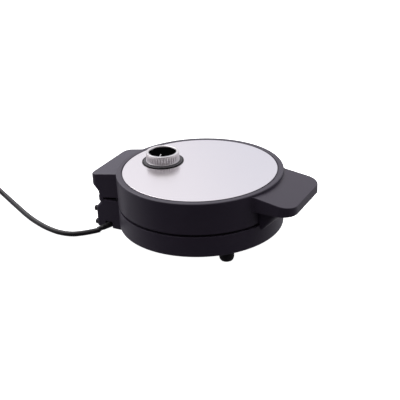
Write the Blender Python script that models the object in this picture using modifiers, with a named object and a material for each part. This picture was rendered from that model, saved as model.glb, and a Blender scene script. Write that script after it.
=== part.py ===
"""Round countertop waffle maker with a hinged lid, a thermostat dial and a mains lead.

Metres, +Z up. The front handle points along -Y and the hinge is at +Y. The origin is on the
surface that the appliance stands on, under the middle of its length and width.
"""
import math

import bmesh
import bpy
from mathutils import Matrix, Vector

# Overall sizes of the two shells
RIM_RADIUS = 0.105          # widest radius, at the lid's rim
RIM_PROUD = 0.0004          # the rim, past the walls under it
HANDLE_LENGTH = 0.039       # the rim to the handle's front edge
REAR_LENGTH = 0.0314        # the rim to the lid's rear edge
FLOOR_GAP = 0.0148          # standing surface to the base wall's lower edge
BASE_HEIGHT = 0.0259
SHELL_GAP = 0.0035          # the dark gap between base and lid
LID_HEIGHT = 0.0393
WALL = 0.0026
SEAT_GAP = 0.0003           # pieces that touch keep this much air
RUNNING_GAP = 0.0005        # pieces that turn or slide keep this much
OVERRUN = 0.002             # how far a cutter runs past what it cuts
MERGE = 0.00005
RING_STEPS = 60
SMALL_STEPS = 18
CORNER_STEPS = 4

WALL_RADIUS = RIM_RADIUS - RIM_PROUD
INNER_RADIUS = WALL_RADIUS - WALL
HANDLE_REACH = RIM_RADIUS + HANDLE_LENGTH
REAR_REACH = RIM_RADIUS + REAR_LENGTH
DISC_Y = (HANDLE_REACH - REAR_REACH) / 2
BASE_TOP_Z = FLOOR_GAP + BASE_HEIGHT
LID_BOTTOM_Z = BASE_TOP_Z + SHELL_GAP
RIM_Z = LID_BOTTOM_Z + LID_HEIGHT

# Base housing
BASE_EDGE_ROUND = 0.0010
BASE_LAND = 0.0046          # width of the wall's lower edge
FLANGE = 0.0022             # thickness of the inner flanges
FLANGE_WIDTH = 0.010        # the lower flange, which takes the cover's screws
PLATE_SEAT_WIDTH = 0.0066   # the flanges that carry the baking plates
COVER_THICKNESS = 0.0025

# Lower grip under the handle, part of the base
GRIP_HALF_WIDTH = 0.036
GRIP_SETBACK = 0.014        # behind the handle's front edge
GRIP_CORNER = 0.012
GRIP_EDGE = 0.002
GRIP_ROOT_Z = 0.035
GRIP_ROOT_INSET = 0.0035    # where the underside's curve starts, inside the rim
GRIP_BEND = 0.012           # the curve's middle control point, past the rim
GRIP_BEND_Z = 0.0495
GRIP_CLEARANCE = 0.0007     # to the handle's underside
GRIP_STEPS = 6
GRIP_BACK_INSET = 0.0023    # its hidden back, inside the wall
GRIP_REACH = HANDLE_REACH - GRIP_SETBACK
GRIP_ROOT_REACH = RIM_RADIUS - GRIP_ROOT_INSET
GRIP_BEND_REACH = RIM_RADIUS + GRIP_BEND
GRIP_INNER_RADIUS = WALL_RADIUS - GRIP_BACK_INSET

# Handle on the lid
HANDLE_UNDER_Z = 0.0622
HANDLE_TOP_Z = 0.080        # at the lid's wall
HANDLE_TIP_Z = 0.0730
HANDLE_HALF_ROOT = 0.0472
HANDLE_HALF_TIP = 0.0494
HANDLE_CORNER = 0.018
HANDLE_WALL = 0.0028
HANDLE_ROOT_DEPTH = 0.0024  # how far the handle's sides run on inside the shell, before the cut
HANDLE_COVER = 0.0024
HANDLE_SCREW_X = 0.025
HANDLE_SCREW_SETBACK = 0.022
HANDLE_ROOT_Y = math.sqrt(INNER_RADIUS ** 2 - HANDLE_HALF_ROOT ** 2) - HANDLE_ROOT_DEPTH
HANDLE_SCREW_REACH = HANDLE_REACH - HANDLE_SCREW_SETBACK

# Notch in the lid's wall that the lower grip stands in
NOTCH_HALF_WIDTH = 0.0448
NOTCH_TOP_Z = HANDLE_UNDER_Z
NOTCH_DEPTH = 0.004
NOTCH_INNER_RADIUS = WALL_RADIUS - NOTCH_DEPTH
NOTCH_WALL = 0.0022

# Hinge and the two rear blocks
HINGE_SETBACK = 0.0139      # in front of the lid's rear edge
HINGE_REACH = REAR_REACH - HINGE_SETBACK
HINGE_Z = 0.0415
BARREL_RADIUS = 0.0046
PIN_RADIUS = 0.0020
PIN_GRIP = 0.0083           # how far a pin reaches into the base's knuckle
PIN_COVER = 0.004           # the barrel's closed end, past the pin
PIN_END_GAP = 0.0006
KNUCKLE_LENGTH = 0.0136
BARREL_LENGTH = 0.0184      # the lid's barrel and its air to the knuckle
KNUCKLE_REAR = 0.0018       # the knuckle's web, behind the pivot
BLOCK_HALF_WIDTH = 0.046
KNUCKLE_OUTER_X = BLOCK_HALF_WIDTH - BARREL_LENGTH
KNUCKLE_INNER_X = KNUCKLE_OUTER_X - KNUCKLE_LENGTH
PIN_INNER_X = KNUCKLE_OUTER_X - PIN_GRIP
PIN_OUTER_X = BLOCK_HALF_WIDTH - PIN_COVER
BLOCK_WALL = 0.0026
LID_BLOCK_ROOT_DEPTH = 0.001  # how far the lid block's sides run on inside the shell, before the cut
BASE_BLOCK_ROOT_DEPTH = 0.0005  # how far the base block's sides run into the wall
LID_BLOCK_TOP_Z = 0.0775    # at the lid's wall
LID_BLOCK_EDGE_Z = 0.0725   # at the rear edge
LID_BLOCK_CORNER = 0.010
LID_BLOCK_STEP_Z = 0.058    # lower end of the overhanging part
LID_BLOCK_NECK_Z = 0.050    # upper end of the neck over the hinge
LID_BLOCK_NECK_REAR = 0.0046  # behind the pivot
LID_BLOCK_NECK_LOW_REAR = 0.0030  # leans forward, to clear the base at full swing
LID_BLOCK_NECK_CORNER = 0.006
LID_BLOCK_LOW_FRONT_Z = 0.0455
LID_BLOCK_LOW_REAR_Z = 0.0420
BASE_BLOCK_REAR = 0.0085    # behind the pivot
BASE_BLOCK_BOTTOM_Z = 0.0006
BASE_BLOCK_TOP_Z = 0.0402
BASE_BLOCK_CORNER = 0.0045
BASE_BLOCK_SHOULDER_Z = 0.0272
BASE_BLOCK_NECK_Z = 0.0350
BASE_BLOCK_NECK_REAR = 0.0028
BASE_BLOCK_NECK_CORNER = 0.006
LID_BLOCK_FRONT = math.sqrt(INNER_RADIUS ** 2 - BLOCK_HALF_WIDTH ** 2) - LID_BLOCK_ROOT_DEPTH
LID_BLOCK_NECK_REACH = HINGE_REACH + LID_BLOCK_NECK_REAR
LID_BLOCK_NECK_LOW_REACH = HINGE_REACH + LID_BLOCK_NECK_LOW_REAR
BASE_BLOCK_FRONT = math.sqrt(WALL_RADIUS ** 2 - BLOCK_HALF_WIDTH ** 2) - BASE_BLOCK_ROOT_DEPTH
BASE_BLOCK_REACH = HINGE_REACH + BASE_BLOCK_REAR
BASE_BLOCK_NECK_REACH = HINGE_REACH + BASE_BLOCK_NECK_REAR
BASE_CAVITY_TOP_Z = 0.0332
BLOCK_COVER = 0.0028
WIRE_SLOT_HALF = 0.012
BASE_WIRE_LOW_Z = 0.0215
BASE_WIRE_HIGH_Z = 0.0315
LID_WIRE_LOW_Z = 0.050
LID_WIRE_HIGH_Z = 0.060

# Feet and bumpers
FOOT_RADIUS = 0.0092
FOOT_TIP_RADIUS = 0.0060
FOOT_ROUND_Z = 0.0062
FOOT_INSET = 0.0157         # the feet's centres, inside the rim
FOOT_ANGLE = math.radians(43.4)
FOOT_CENTRE_RADIUS = RIM_RADIUS - FOOT_INSET
REAR_FOOT_RADIUS = 0.0058
REAR_FOOT_INSET = 0.012     # from the block's side
REAR_FOOT_SETBACK = 0.0115  # in front of the block's rear face
REAR_FOOT_HEIGHT = 0.0024
REAR_FOOT_X = BLOCK_HALF_WIDTH - REAR_FOOT_INSET
REAR_FOOT_REACH = BASE_BLOCK_REACH - REAR_FOOT_SETBACK
BUMPER_RADIUS = 0.0038
BUMPER_INSET = 0.0058       # from the block's side
BUMPER_X = BLOCK_HALF_WIDTH - BUMPER_INSET
BUMPER_HIGH_Z = 0.0232
BUMPER_LOW_Z = 0.0040
BUMPER_LENGTH = 0.0036
BUMPER_ROUND = 0.0012

# Baking plates
PLATE_LIP_GAP = 0.0005      # between the lip and the shell's wall
PLATE_LIP = 0.0011
PLATE_BODY_GAP = 0.0008     # between the casting and its seat's edge
PLATE_WALL = 0.0027         # the well's wall, at the lip
PLATE_SLOPE = 0.003         # how far the well's wall leans in
PLATE_SPLIT = 0.0013        # the casting is two nodes: a pegged floor and, outside this, a rim
PLATE_LIP_RADIUS = INNER_RADIUS - PLATE_LIP_GAP
PLATE_BODY_RADIUS = WALL_RADIUS - PLATE_SEAT_WIDTH - PLATE_BODY_GAP
PLATE_RIM_RADIUS = PLATE_BODY_RADIUS - PLATE_WALL
PLATE_FLOOR_RADIUS = PLATE_RIM_RADIUS - PLATE_SLOPE
PLATE_SPLIT_RADIUS = PLATE_FLOOR_RADIUS - PLATE_SPLIT
PLATE_DEPTH = 0.0092        # lip to well floor
PLATE_THICKNESS = 0.0036
PEG_PITCH = 0.018
PEG_BASE = 0.0124
PEG_TIP = 0.0092
PEG_HEIGHT = 0.0058
PEG_MARGIN = 0.0105         # the well's floor past the outermost pegs' middles
PEG_FIELD_RADIUS = PLATE_FLOOR_RADIUS - PEG_MARGIN
PEG_COUNT_SIDE = 8
POST_RADIUS = 0.0042
POST_X = 0.036
POST_BORE = 0.0017
POST_BORE_DEPTH = 0.006

# Heating elements, reflectors and what fastens them
ELEMENT_RADIUS = 0.0033
ELEMENT_RING = 0.062
ELEMENT_OPEN = math.radians(26)
ELEMENT_TAIL = 0.014
ELEMENT_POINTS = 24
REFLECTOR = 0.0008
REFLECTOR_DROP = 0.0079     # its floor, from the plate's underside
REFLECTOR_INSET = 0.0067    # its rim, inside the casting's side
REFLECTOR_FLARE = 0.0045
REFLECTOR_RIM_RADIUS = PLATE_BODY_RADIUS - REFLECTOR_INSET
REFLECTOR_FLOOR_RADIUS = REFLECTOR_RIM_RADIUS - REFLECTOR_FLARE
SCREW_SHANK = 0.0014
SCREW_HEAD = 0.0030
SCREW_HEAD_HEIGHT = 0.0013
POST_SCREW_GRIP = 0.0055
FUSE_RADIUS = 0.0024
FUSE_LENGTH = 0.020
FUSE_Y = 0.022

# Bottom cover
COVER_SCREW_INSET = 0.0065  # the screws, inside the shell's inner wall
COVER_SCREW_RADIUS = INNER_RADIUS - COVER_SCREW_INSET
COVER_SCREW_ANGLE = math.radians(22)
COVER_SCREW_GRIP = 0.0062
COVER_HOLE = 0.0017
VENT_LENGTH = 0.026
VENT_WIDTH = 0.0030
VENT_RADII = (0.050, 0.066)
VENTS_AROUND = 10

# Steel panel, dial and thermostat
RIM_WIDTH = 0.007           # the moulded rim round the panel
PANEL_GAP = 0.0007
PANEL_THICKNESS = 0.0008
PANEL_TOP_Z = RIM_Z + 0.0010
PANEL_EDGE = 0.0016         # height of the panel's turned-down edge
PANEL_EDGE_ROUND = 0.0004
LEDGE_WIDTH = 0.006         # the ledge that the panel lies on
LEDGE = 0.0022
RIM_INNER_RADIUS = RIM_RADIUS - RIM_WIDTH
PANEL_RADIUS = RIM_INNER_RADIUS - PANEL_GAP
LEDGE_INNER_RADIUS = RIM_INNER_RADIUS - LEDGE_WIDTH
BEZEL_RADIUS = 0.0267
BEZEL_THICKNESS = 0.0006
BEZEL_BEVEL = 0.0003
DIAL_MARGIN = 0.0158        # the panel's edge to the bezel
DIAL_SIDE = 0.0036          # the dial's axis, off the middle line
DIAL_REACH = PANEL_RADIUS - BEZEL_RADIUS - DIAL_MARGIN
BEZEL_HOLE = 0.0065
PANEL_HOLE = 0.0055
KNOB_BASE_RADIUS = 0.0216
KNOB_TOP_RADIUS = 0.0212
KNOB_HEIGHT = 0.0122
KNOB_BASE_BAND = 0.0014
KNOB_TOP_BAND = 0.0016
KNOB_BORE = 0.0177
KNOB_TOP_CHAMFER = 0.0006
FLUTE_DEPTH = 0.0007
FLUTES = 40
CAP_RECESS = 0.0012
CAP_SINK = 0.0009           # how far the cap's foot stays above the bezel
POINTER_LENGTH = 0.0080
POINTER_WIDTH = 0.0012
POINTER_HEIGHT = 0.0005
POINTER_INSET = 0.0008
POINTER_ANGLE = math.radians(197)
SHAFT_RADIUS = 0.0029
SHAFT_GRIP = 0.0075         # how far the shaft reaches into the cap
BODY_RADIUS = 0.0115
BODY_HEIGHT = 0.0135
BRACKET_LENGTH = 0.046
BRACKET_WIDTH = 0.022
BRACKET_CORNER = 0.004
BRACKET = 0.0010

# Lead, strain relief, gland, coil, tie and plug
CORD_DIAMETER = 0.0068
EXIT_SETBACK = 0.0185       # where the lead crosses the side wall, from the block's rear face
EXIT_REACH = BASE_BLOCK_REACH - EXIT_SETBACK
EXIT_Z = 0.0046
EXIT_ANGLE = math.radians(20)
SLOT_HALF_WIDTH = 0.0053
SLOT_TOP_Z = 0.0094
RELIEF_INSIDE = 0.0135      # along its axis, inside the wall
RELIEF_OUTSIDE = 0.0095
RELIEF_ROOT_RADIUS = 0.0039
RELIEF_TIP_RADIUS = 0.0037
GLAND_INSET = 0.0105        # from the block's outer side
GLAND_X = BLOCK_HALF_WIDTH - GLAND_INSET
GLAND_LENGTH = 0.0060
GLAND_WIDTH = 0.0140
GLAND_HEIGHT = 0.0105
GLAND_BORE_GAP = 0.0004
TERMINAL_LENGTH = 0.026
TERMINAL_WIDTH = 0.010
TERMINAL_HEIGHT = 0.009
TERMINAL_X = 0.010
TERMINAL_SETBACK = 0.018    # in front of the block's rear face
TERMINAL_REACH = BASE_BLOCK_REACH - TERMINAL_SETBACK
TERMINAL_BEVEL = 0.0008
LEAD_ROUTE = (              # hand-chosen points of the lead's middle, past the relief
    (-0.0632, 0.1215, 0.0040),
    (-0.0698, 0.1282, 0.0035),
    (-0.0774, 0.1361, 0.0034),
    (-0.0842, 0.1458, 0.0034),
    (-0.0872, 0.1580, 0.0034),
    (-0.0863, 0.1748, 0.0034),
    (-0.0790, 0.1999, 0.0034),
    (-0.0652, 0.2304, 0.0034),
    (-0.0442, 0.2670, 0.0034),
    (-0.0123, 0.3207, 0.0034),
)
LEAD_POINTS = 20
COIL_START = (0.0020, 0.3480)
COIL_HEADING = math.radians(68)
COIL_OUTER = 0.0410
COIL_PITCH = 0.0074
COIL_LAYER_TURNS = 1.5
COIL_CLIMB_TURNS = 0.5
COIL_LOOP_POINTS = 24
TIE_THICKNESS = 0.0006
TIE_WIDTH = 0.0060
TIE_ANGLE = math.radians(200)
TIE_SLACK = 0.0004
PLUG_LENGTH = 0.034
PLUG_WIDTH = 0.036
PLUG_NECK_LENGTH = 0.020
PLUG_NECK_WIDTH = 0.014
PLUG_CORNER = 0.006
PLUG_SHARE_AT_NECK = 0.62
PLUG_PIN_RADIUS = 0.0024
PLUG_PIN_LENGTH = 0.019
PLUG_PIN_SPACING = 0.019
PLUG_PIN_ROUND = 0.0009

BLACK_PLASTIC = (0.012, 0.012, 0.014, 1)
BLACK_RUBBER = (0.02, 0.02, 0.021, 1)
GREY_RUBBER = (0.10, 0.10, 0.105, 1)
STEEL = (0.62, 0.62, 0.61, 1)
CHROME = (0.78, 0.78, 0.77, 1)
ALUMINIUM = (0.55, 0.56, 0.57, 1)
CAST_COATING = (0.03, 0.03, 0.032, 1)
BRASS = (0.60, 0.45, 0.20, 1)
CERAMIC = (0.75, 0.73, 0.68, 1)

for old in list(bpy.data.objects):
    bpy.data.objects.remove(old, do_unlink=True)

parts = bpy.data.collections.new("waffle_maker")
cutters = bpy.data.collections.new("cutters")
bpy.context.scene.collection.children.link(parts)
bpy.context.scene.collection.children.link(cutters)


# Helpers

def place(obj, collection=parts):
    """Put an object in one collection only."""
    collection.objects.link(obj)
    return obj


def empty(name, at, parent=None):
    """An empty on a joint's axis, which the moving pieces hang from."""
    obj = place(bpy.data.objects.new(name, None))
    obj.location = at
    if parent:
        obj.parent = parent
        obj.location = Vector(at) - Vector(parent["place"])
    obj["place"] = at
    return obj


def finish(obj, body, colour, roughness, metallic=0.0):
    """Name the piece's material and hang the piece from its body's empty."""
    material = bpy.data.materials.new(obj.name + "_finish")
    material.use_nodes = True
    shader = material.node_tree.nodes["Principled BSDF"]
    shader.inputs["Base Color"].default_value = colour
    shader.inputs["Roughness"].default_value = roughness
    shader.inputs["Metallic"].default_value = metallic
    obj.data.materials.append(material)
    obj.parent = body
    obj.matrix_parent_inverse = Matrix.Translation(-Vector(body["place"]))
    return obj


def mesh_object(name, build):
    """A mesh object from a bmesh."""
    mesh = bpy.data.meshes.new(name)
    build.to_mesh(mesh)
    build.free()
    mesh.shade_smooth()
    mesh.set_sharp_from_angle(angle=math.radians(35))
    return place(bpy.data.objects.new(name, mesh))


def turned(name, profile, at=(0, 0, 0), steps=RING_STEPS, closed=True):
    """A turned shape: a profile of (radius, height) pairs, swept by a Screw modifier."""
    build = bmesh.new()
    points = [build.verts.new((radius, 0, height)) for radius, height in profile]
    for first, second in zip(points, points[1:]):
        build.edges.new((first, second))
    if closed:
        build.edges.new((points[-1], points[0]))
    obj = mesh_object(name, build)
    obj.location = at
    screw = obj.modifiers.new("turn", "SCREW")
    screw.steps = screw.render_steps = steps
    screw.use_merge_vertices = True
    screw.merge_threshold = MERGE
    screw.use_smooth_shade = True
    return obj


def as_mesh(curve):
    """Turn a curve object into a welded mesh object, so that it can be cut or joined."""
    depsgraph = bpy.context.evaluated_depsgraph_get()
    mesh = bpy.data.meshes.new_from_object(curve.evaluated_get(depsgraph))
    build = bmesh.new()
    build.from_mesh(mesh)
    bmesh.ops.remove_doubles(build, verts=build.verts, dist=MERGE)
    bmesh.ops.recalc_face_normals(build, faces=build.faces)
    build.to_mesh(mesh)
    build.free()
    obj = place(bpy.data.objects.new(curve.name + "_solid", mesh))
    obj.matrix_world = curve.matrix_world
    name = curve.name
    bpy.data.objects.remove(curve, do_unlink=True)
    obj.name = name
    return obj


def slab(name, outlines, low, high):
    """A flat piece between two heights, from its outline and the outlines of its holes."""
    data = bpy.data.curves.new(name, "CURVE")
    data.dimensions = "2D"
    data.fill_mode = "BOTH"
    data.extrude = (high - low) / 2
    for outline in outlines:
        spline = data.splines.new("POLY")
        spline.points.add(len(outline) - 1)
        for point, (x, y) in zip(spline.points, outline):
            point.co = (x, y, 0, 1)
        spline.use_cyclic_u = True
    curve = place(bpy.data.objects.new(name, data))
    curve.location = (0, 0, (low + high) / 2)
    bpy.context.view_layer.update()
    return as_mesh(curve)


def loft(name, rings, closed=False):
    """A solid through rings of points, all with as many points; a closed one is a loop of rings."""
    build = bmesh.new()
    rows = [[build.verts.new(point) for point in ring] for ring in rings]
    pairs = list(zip(rows, rows[1:]))
    if closed:
        pairs.append((rows[-1], rows[0]))
    for lower, upper in pairs:
        for index in range(len(lower)):
            after = (index + 1) % len(lower)
            build.faces.new((lower[index], lower[after], upper[after], upper[index]))
    if not closed:
        build.faces.new(list(reversed(rows[0])))
        build.faces.new(rows[-1])
    bmesh.ops.recalc_face_normals(build, faces=build.faces)
    return mesh_object(name, build)


def rod(name, start, end, radius, steps=SMALL_STEPS, end_radius=None):
    """A cylinder or cone between two points."""
    start, end = Vector(start), Vector(end)
    axis = end - start
    build = bmesh.new()
    bmesh.ops.create_cone(
        build, cap_ends=True, segments=steps, radius1=radius,
        radius2=radius if end_radius is None else end_radius, depth=axis.length,
    )
    turn = Vector((0, 0, 1)).rotation_difference(axis).to_matrix().to_4x4()
    middle = Matrix.Translation((start + end) / 2)
    bmesh.ops.transform(build, matrix=middle @ turn, verts=build.verts)
    return mesh_object(name, build)


def box(name, low, high):
    """A box between two corners."""
    low, high = Vector(low), Vector(high)
    build = bmesh.new()
    bmesh.ops.create_cube(build, size=1)
    size = Matrix.Diagonal((*(high - low), 1))
    bmesh.ops.transform(build, matrix=Matrix.Translation((low + high) / 2) @ size, verts=build.verts)
    return mesh_object(name, build)


def combine(target, tool, operation):
    """Cut, join or intersect a piece with a hidden tool that stays in the file."""
    tool.hide_render = True
    tool.display_type = "WIRE"
    parts.objects.unlink(tool)
    cutters.objects.link(tool)
    change = target.modifiers.new(tool.name, "BOOLEAN")
    change.operation = operation
    change.solver = "EXACT"
    change.object = tool
    return target


def cut(target, tool):
    return combine(target, tool, "DIFFERENCE")


def join(target, tool):
    return combine(target, tool, "UNION")


def overlap(target, tool):
    return combine(target, tool, "INTERSECT")


def rounded(corners, steps=CORNER_STEPS):
    """An outline from (x, y, radius) corners, each one rounded by an arc."""
    outline = []
    count = len(corners)
    for index, (x, y, radius) in enumerate(corners):
        here = Vector((x, y))
        before = (Vector(corners[index - 1][:2]) - here).normalized()
        after = (Vector(corners[(index + 1) % count][:2]) - here).normalized()
        if radius == 0:
            outline.append((x, y))
            continue
        half = before.angle(after) / 2
        centre = here + (before + after).normalized() * radius / math.sin(half)
        first = here + before * radius / math.tan(half) - centre
        last = here + after * radius / math.tan(half) - centre
        turn = first.angle_signed(last)
        for step in range(steps + 1):
            arm = first.copy()
            arm.rotate(Matrix.Rotation(-turn * step / steps, 2))
            outline.append(tuple(centre + arm))
    return outline


def block_ring(half, front, rear, corner, height):
    """A ring of a rear block: straight sides and front, two rounded rear corners.

    The height is a number, or a function of the distance behind the disc's centre.
    """
    corners = [(-half, front, 0), (half, front, 0), (half, rear, corner), (-half, rear, corner)]
    level = height if callable(height) else lambda _: height
    return [(x, DISC_Y + y, level(y)) for x, y in rounded(corners)]


def handle_ring(inset, height):
    """A ring of the handle, drawn in by a wall's thickness."""
    root, tip = HANDLE_HALF_ROOT - inset, HANDLE_HALF_TIP - inset
    front = inset - HANDLE_REACH
    corner = HANDLE_CORNER - inset
    corners = [(root, -HANDLE_ROOT_Y, 0), (-root, -HANDLE_ROOT_Y, 0), (-tip, front, corner), (tip, front, corner)]
    level = height if callable(height) else lambda _: height
    return [(x, DISC_Y + y, level(y)) for x, y in rounded(corners)]


def between(first, second, at_first, at_second):
    """The straight line through two (place, height) pairs, as a function of the place."""
    return lambda y: at_first + (y - first) * (at_second - at_first) / (second - first)


def handle_top(y):
    return between(-WALL_RADIUS, -HANDLE_REACH, HANDLE_TOP_Z, HANDLE_TIP_Z)(y)


def lid_block_top(y):
    return between(WALL_RADIUS, REAR_REACH, LID_BLOCK_TOP_Z, LID_BLOCK_EDGE_Z)(y)


def lid_block_low(y):
    return between(RIM_INNER_RADIUS, HINGE_REACH, LID_BLOCK_LOW_FRONT_Z, LID_BLOCK_LOW_REAR_Z)(y)


def disc_cutter(name, radius, low, high):
    """A plain cylinder about the disc's axis."""
    return rod(name, (0, DISC_Y, low), (0, DISC_Y, high), radius, RING_STEPS)


def sector(name, inner, outer, low, high, half_width):
    """The part of a ring in front of the disc that lies within a half width."""
    ring = turned(name, [(outer, high), (outer, low), (inner, low), (inner, high)], (0, DISC_Y, 0))
    window = box(name + "_window", (-half_width, DISC_Y - RIM_RADIUS - OVERRUN, low - OVERRUN),
                 (half_width, DISC_Y, high + OVERRUN))
    return overlap(ring, window)


def mirrored_sides():
    return (("left", -1), ("right", 1))


base = empty("base_root", (0, 0, 0))
lid = empty("lid_hinge", (0, DISC_Y + HINGE_REACH, HINGE_Z))
DIAL_AT = (DIAL_SIDE, DISC_Y + DIAL_REACH)
knob = empty("knob_axis", (*DIAL_AT, PANEL_TOP_Z), lid)
PIVOT = (DISC_Y + HINGE_REACH, HINGE_Z)


# Base

def make_base_housing():
    """Moulded ring with the lower grip in front and the hinge block behind."""
    cover_radius = WALL_RADIUS - BASE_LAND
    seat_inner = WALL_RADIUS - PLATE_SEAT_WIDTH
    flange_low = FLOOR_GAP + COVER_THICKNESS + SEAT_GAP
    round_middle = BASE_EDGE_ROUND * (1 - math.sqrt(0.5))
    housing = turned("base_housing", [
        (WALL_RADIUS, BASE_TOP_Z),
        (WALL_RADIUS, FLOOR_GAP + BASE_EDGE_ROUND),
        (WALL_RADIUS - round_middle, FLOOR_GAP + round_middle),
        (WALL_RADIUS - BASE_EDGE_ROUND, FLOOR_GAP),
        (cover_radius, FLOOR_GAP),
        (cover_radius, flange_low),
        (INNER_RADIUS - FLANGE_WIDTH, flange_low),
        (INNER_RADIUS - FLANGE_WIDTH, flange_low + FLANGE),
        (INNER_RADIUS, flange_low + FLANGE),
        (INNER_RADIUS, BASE_TOP_Z - FLANGE),
        (seat_inner, BASE_TOP_Z - FLANGE),
        (seat_inner, BASE_TOP_Z),
    ], (0, DISC_Y, 0))

    inside = INNER_RADIUS + SEAT_GAP
    above_cover = FLOOR_GAP - SEAT_GAP
    block = loft("base_block", [
        block_ring(BLOCK_HALF_WIDTH, BASE_BLOCK_FRONT, BASE_BLOCK_REACH, BASE_BLOCK_CORNER, BASE_BLOCK_BOTTOM_Z),
        block_ring(BLOCK_HALF_WIDTH, BASE_BLOCK_FRONT, BASE_BLOCK_REACH, BASE_BLOCK_CORNER, BASE_BLOCK_SHOULDER_Z),
        block_ring(BLOCK_HALF_WIDTH, BASE_BLOCK_FRONT, BASE_BLOCK_NECK_REACH, BASE_BLOCK_NECK_CORNER,
                   BASE_BLOCK_NECK_Z),
        block_ring(BLOCK_HALF_WIDTH, BASE_BLOCK_FRONT, BASE_BLOCK_NECK_REACH, BASE_BLOCK_NECK_CORNER,
                   BASE_BLOCK_TOP_Z),
    ])
    cut(block, disc_cutter("base_block_inside", inside, above_cover, BASE_TOP_Z + OVERRUN))
    join(housing, block)

    rings = []
    top = HANDLE_UNDER_Z - GRIP_CLEARANCE
    edge = top - GRIP_EDGE
    for step in range(GRIP_STEPS + 1):
        along = step / GRIP_STEPS
        first, middle, last = (1 - along) ** 2, 2 * along * (1 - along), along ** 2
        reach = first * GRIP_ROOT_REACH + middle * GRIP_BEND_REACH + last * GRIP_REACH
        level = first * GRIP_ROOT_Z + middle * GRIP_BEND_Z + last * edge
        rings.append(grip_ring(reach, level))
    rings.append(grip_ring(GRIP_REACH, top))
    grip = loft("lower_grip", rings)
    cut(grip, disc_cutter("lower_grip_inside", GRIP_INNER_RADIUS, GRIP_ROOT_Z - OVERRUN, top + OVERRUN))
    join(housing, grip)

    side = BLOCK_HALF_WIDTH - BLOCK_WALL
    front = BASE_BLOCK_FRONT + BLOCK_WALL
    slope_drop = BASE_BLOCK_NECK_Z - BASE_CAVITY_TOP_Z
    cavity = loft("base_block_cavity", [
        block_ring(side, front, BASE_BLOCK_REACH - BLOCK_WALL, BASE_BLOCK_CORNER - BLOCK_WALL,
                   BASE_BLOCK_BOTTOM_Z - OVERRUN),
        block_ring(side, front, BASE_BLOCK_REACH - BLOCK_WALL, BASE_BLOCK_CORNER - BLOCK_WALL,
                   BASE_BLOCK_SHOULDER_Z - slope_drop),
        block_ring(side, front, BASE_BLOCK_NECK_REACH - BLOCK_WALL, BASE_BLOCK_NECK_CORNER - BLOCK_WALL,
                   BASE_CAVITY_TOP_Z),
    ])
    cut(cavity, disc_cutter("base_block_cavity_front", WALL_RADIUS, above_cover - BLOCK_WALL, BASE_TOP_Z))
    cut(housing, cavity)
    cut(housing, box("base_wire_slot", (-WIRE_SLOT_HALF, DISC_Y + INNER_RADIUS - OVERRUN, BASE_WIRE_LOW_Z),
                     (WIRE_SLOT_HALF, DISC_Y + WALL_RADIUS + OVERRUN, BASE_WIRE_HIGH_Z)))
    exit_y = DISC_Y + EXIT_REACH - BLOCK_WALL / 2 * math.tan(EXIT_ANGLE)
    cut(housing, box("lead_slot", (-BLOCK_HALF_WIDTH - OVERRUN, exit_y - SLOT_HALF_WIDTH, -OVERRUN),
                     (-side + BLOCK_WALL / 2, exit_y + SLOT_HALF_WIDTH, SLOT_TOP_Z)))

    trough = BARREL_RADIUS + RUNNING_GAP
    cut(housing, rod("hinge_trough", (-BLOCK_HALF_WIDTH - OVERRUN, *PIVOT), (BLOCK_HALF_WIDTH + OVERRUN, *PIVOT),
                     trough))
    for side_name, sign in mirrored_sides():
        inner, outer = sign * KNUCKLE_INNER_X, sign * KNUCKLE_OUTER_X
        join(housing, rod("base_knuckle_" + side_name, (inner, *PIVOT), (outer, *PIVOT), BARREL_RADIUS))
        low = (min(inner, outer), PIVOT[0] - BARREL_RADIUS, BASE_CAVITY_TOP_Z + WALL / 2)
        high = (max(inner, outer), PIVOT[0] + KNUCKLE_REAR, HINGE_Z)
        join(housing, box("base_knuckle_web_" + side_name, low, high))
    for side_name, sign in mirrored_sides():
        start = (sign * (PIN_INNER_X - PIN_END_GAP), *PIVOT)
        end = (sign * (KNUCKLE_OUTER_X + OVERRUN), *PIVOT)
        cut(housing, rod("base_pin_bore_" + side_name, start, end, PIN_RADIUS + SEAT_GAP))
    for name, x, y in cover_screw_places():
        cut(housing, rod(name + "_flange_hole", (x, y, flange_low - OVERRUN),
                         (x, y, flange_low + FLANGE + OVERRUN), COVER_HOLE))
    return finish(housing, base, BLACK_PLASTIC, 0.42)


def grip_ring(reach, level):
    """A ring of the lower grip: straight at the back, rounded at its front corners."""
    half = GRIP_HALF_WIDTH
    back = -INNER_RADIUS * math.cos(math.asin(half / INNER_RADIUS)) + WALL
    corners = [(half, back, 0), (-half, back, 0), (-half, -reach, 0), (half, -reach, 0)]
    limit = (reach + back) / 2
    corner = min(GRIP_CORNER, limit)
    corners[2] = (-half, -reach, corner)
    corners[3] = (half, -reach, corner)
    return [(x, DISC_Y + y, level) for x, y in rounded(corners)]


def cover_screw_places():
    """Four screws near the cover's edge, clear of the feet."""
    places = []
    for index, (sign_x, sign_y) in enumerate(((-1, -1), (1, -1), (-1, 1), (1, 1)), 1):
        x = sign_x * COVER_SCREW_RADIUS * math.cos(COVER_SCREW_ANGLE)
        y = DISC_Y + sign_y * COVER_SCREW_RADIUS * math.sin(COVER_SCREW_ANGLE)
        places.append((f"cover_screw_{index}", x, y))
    return places


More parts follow.
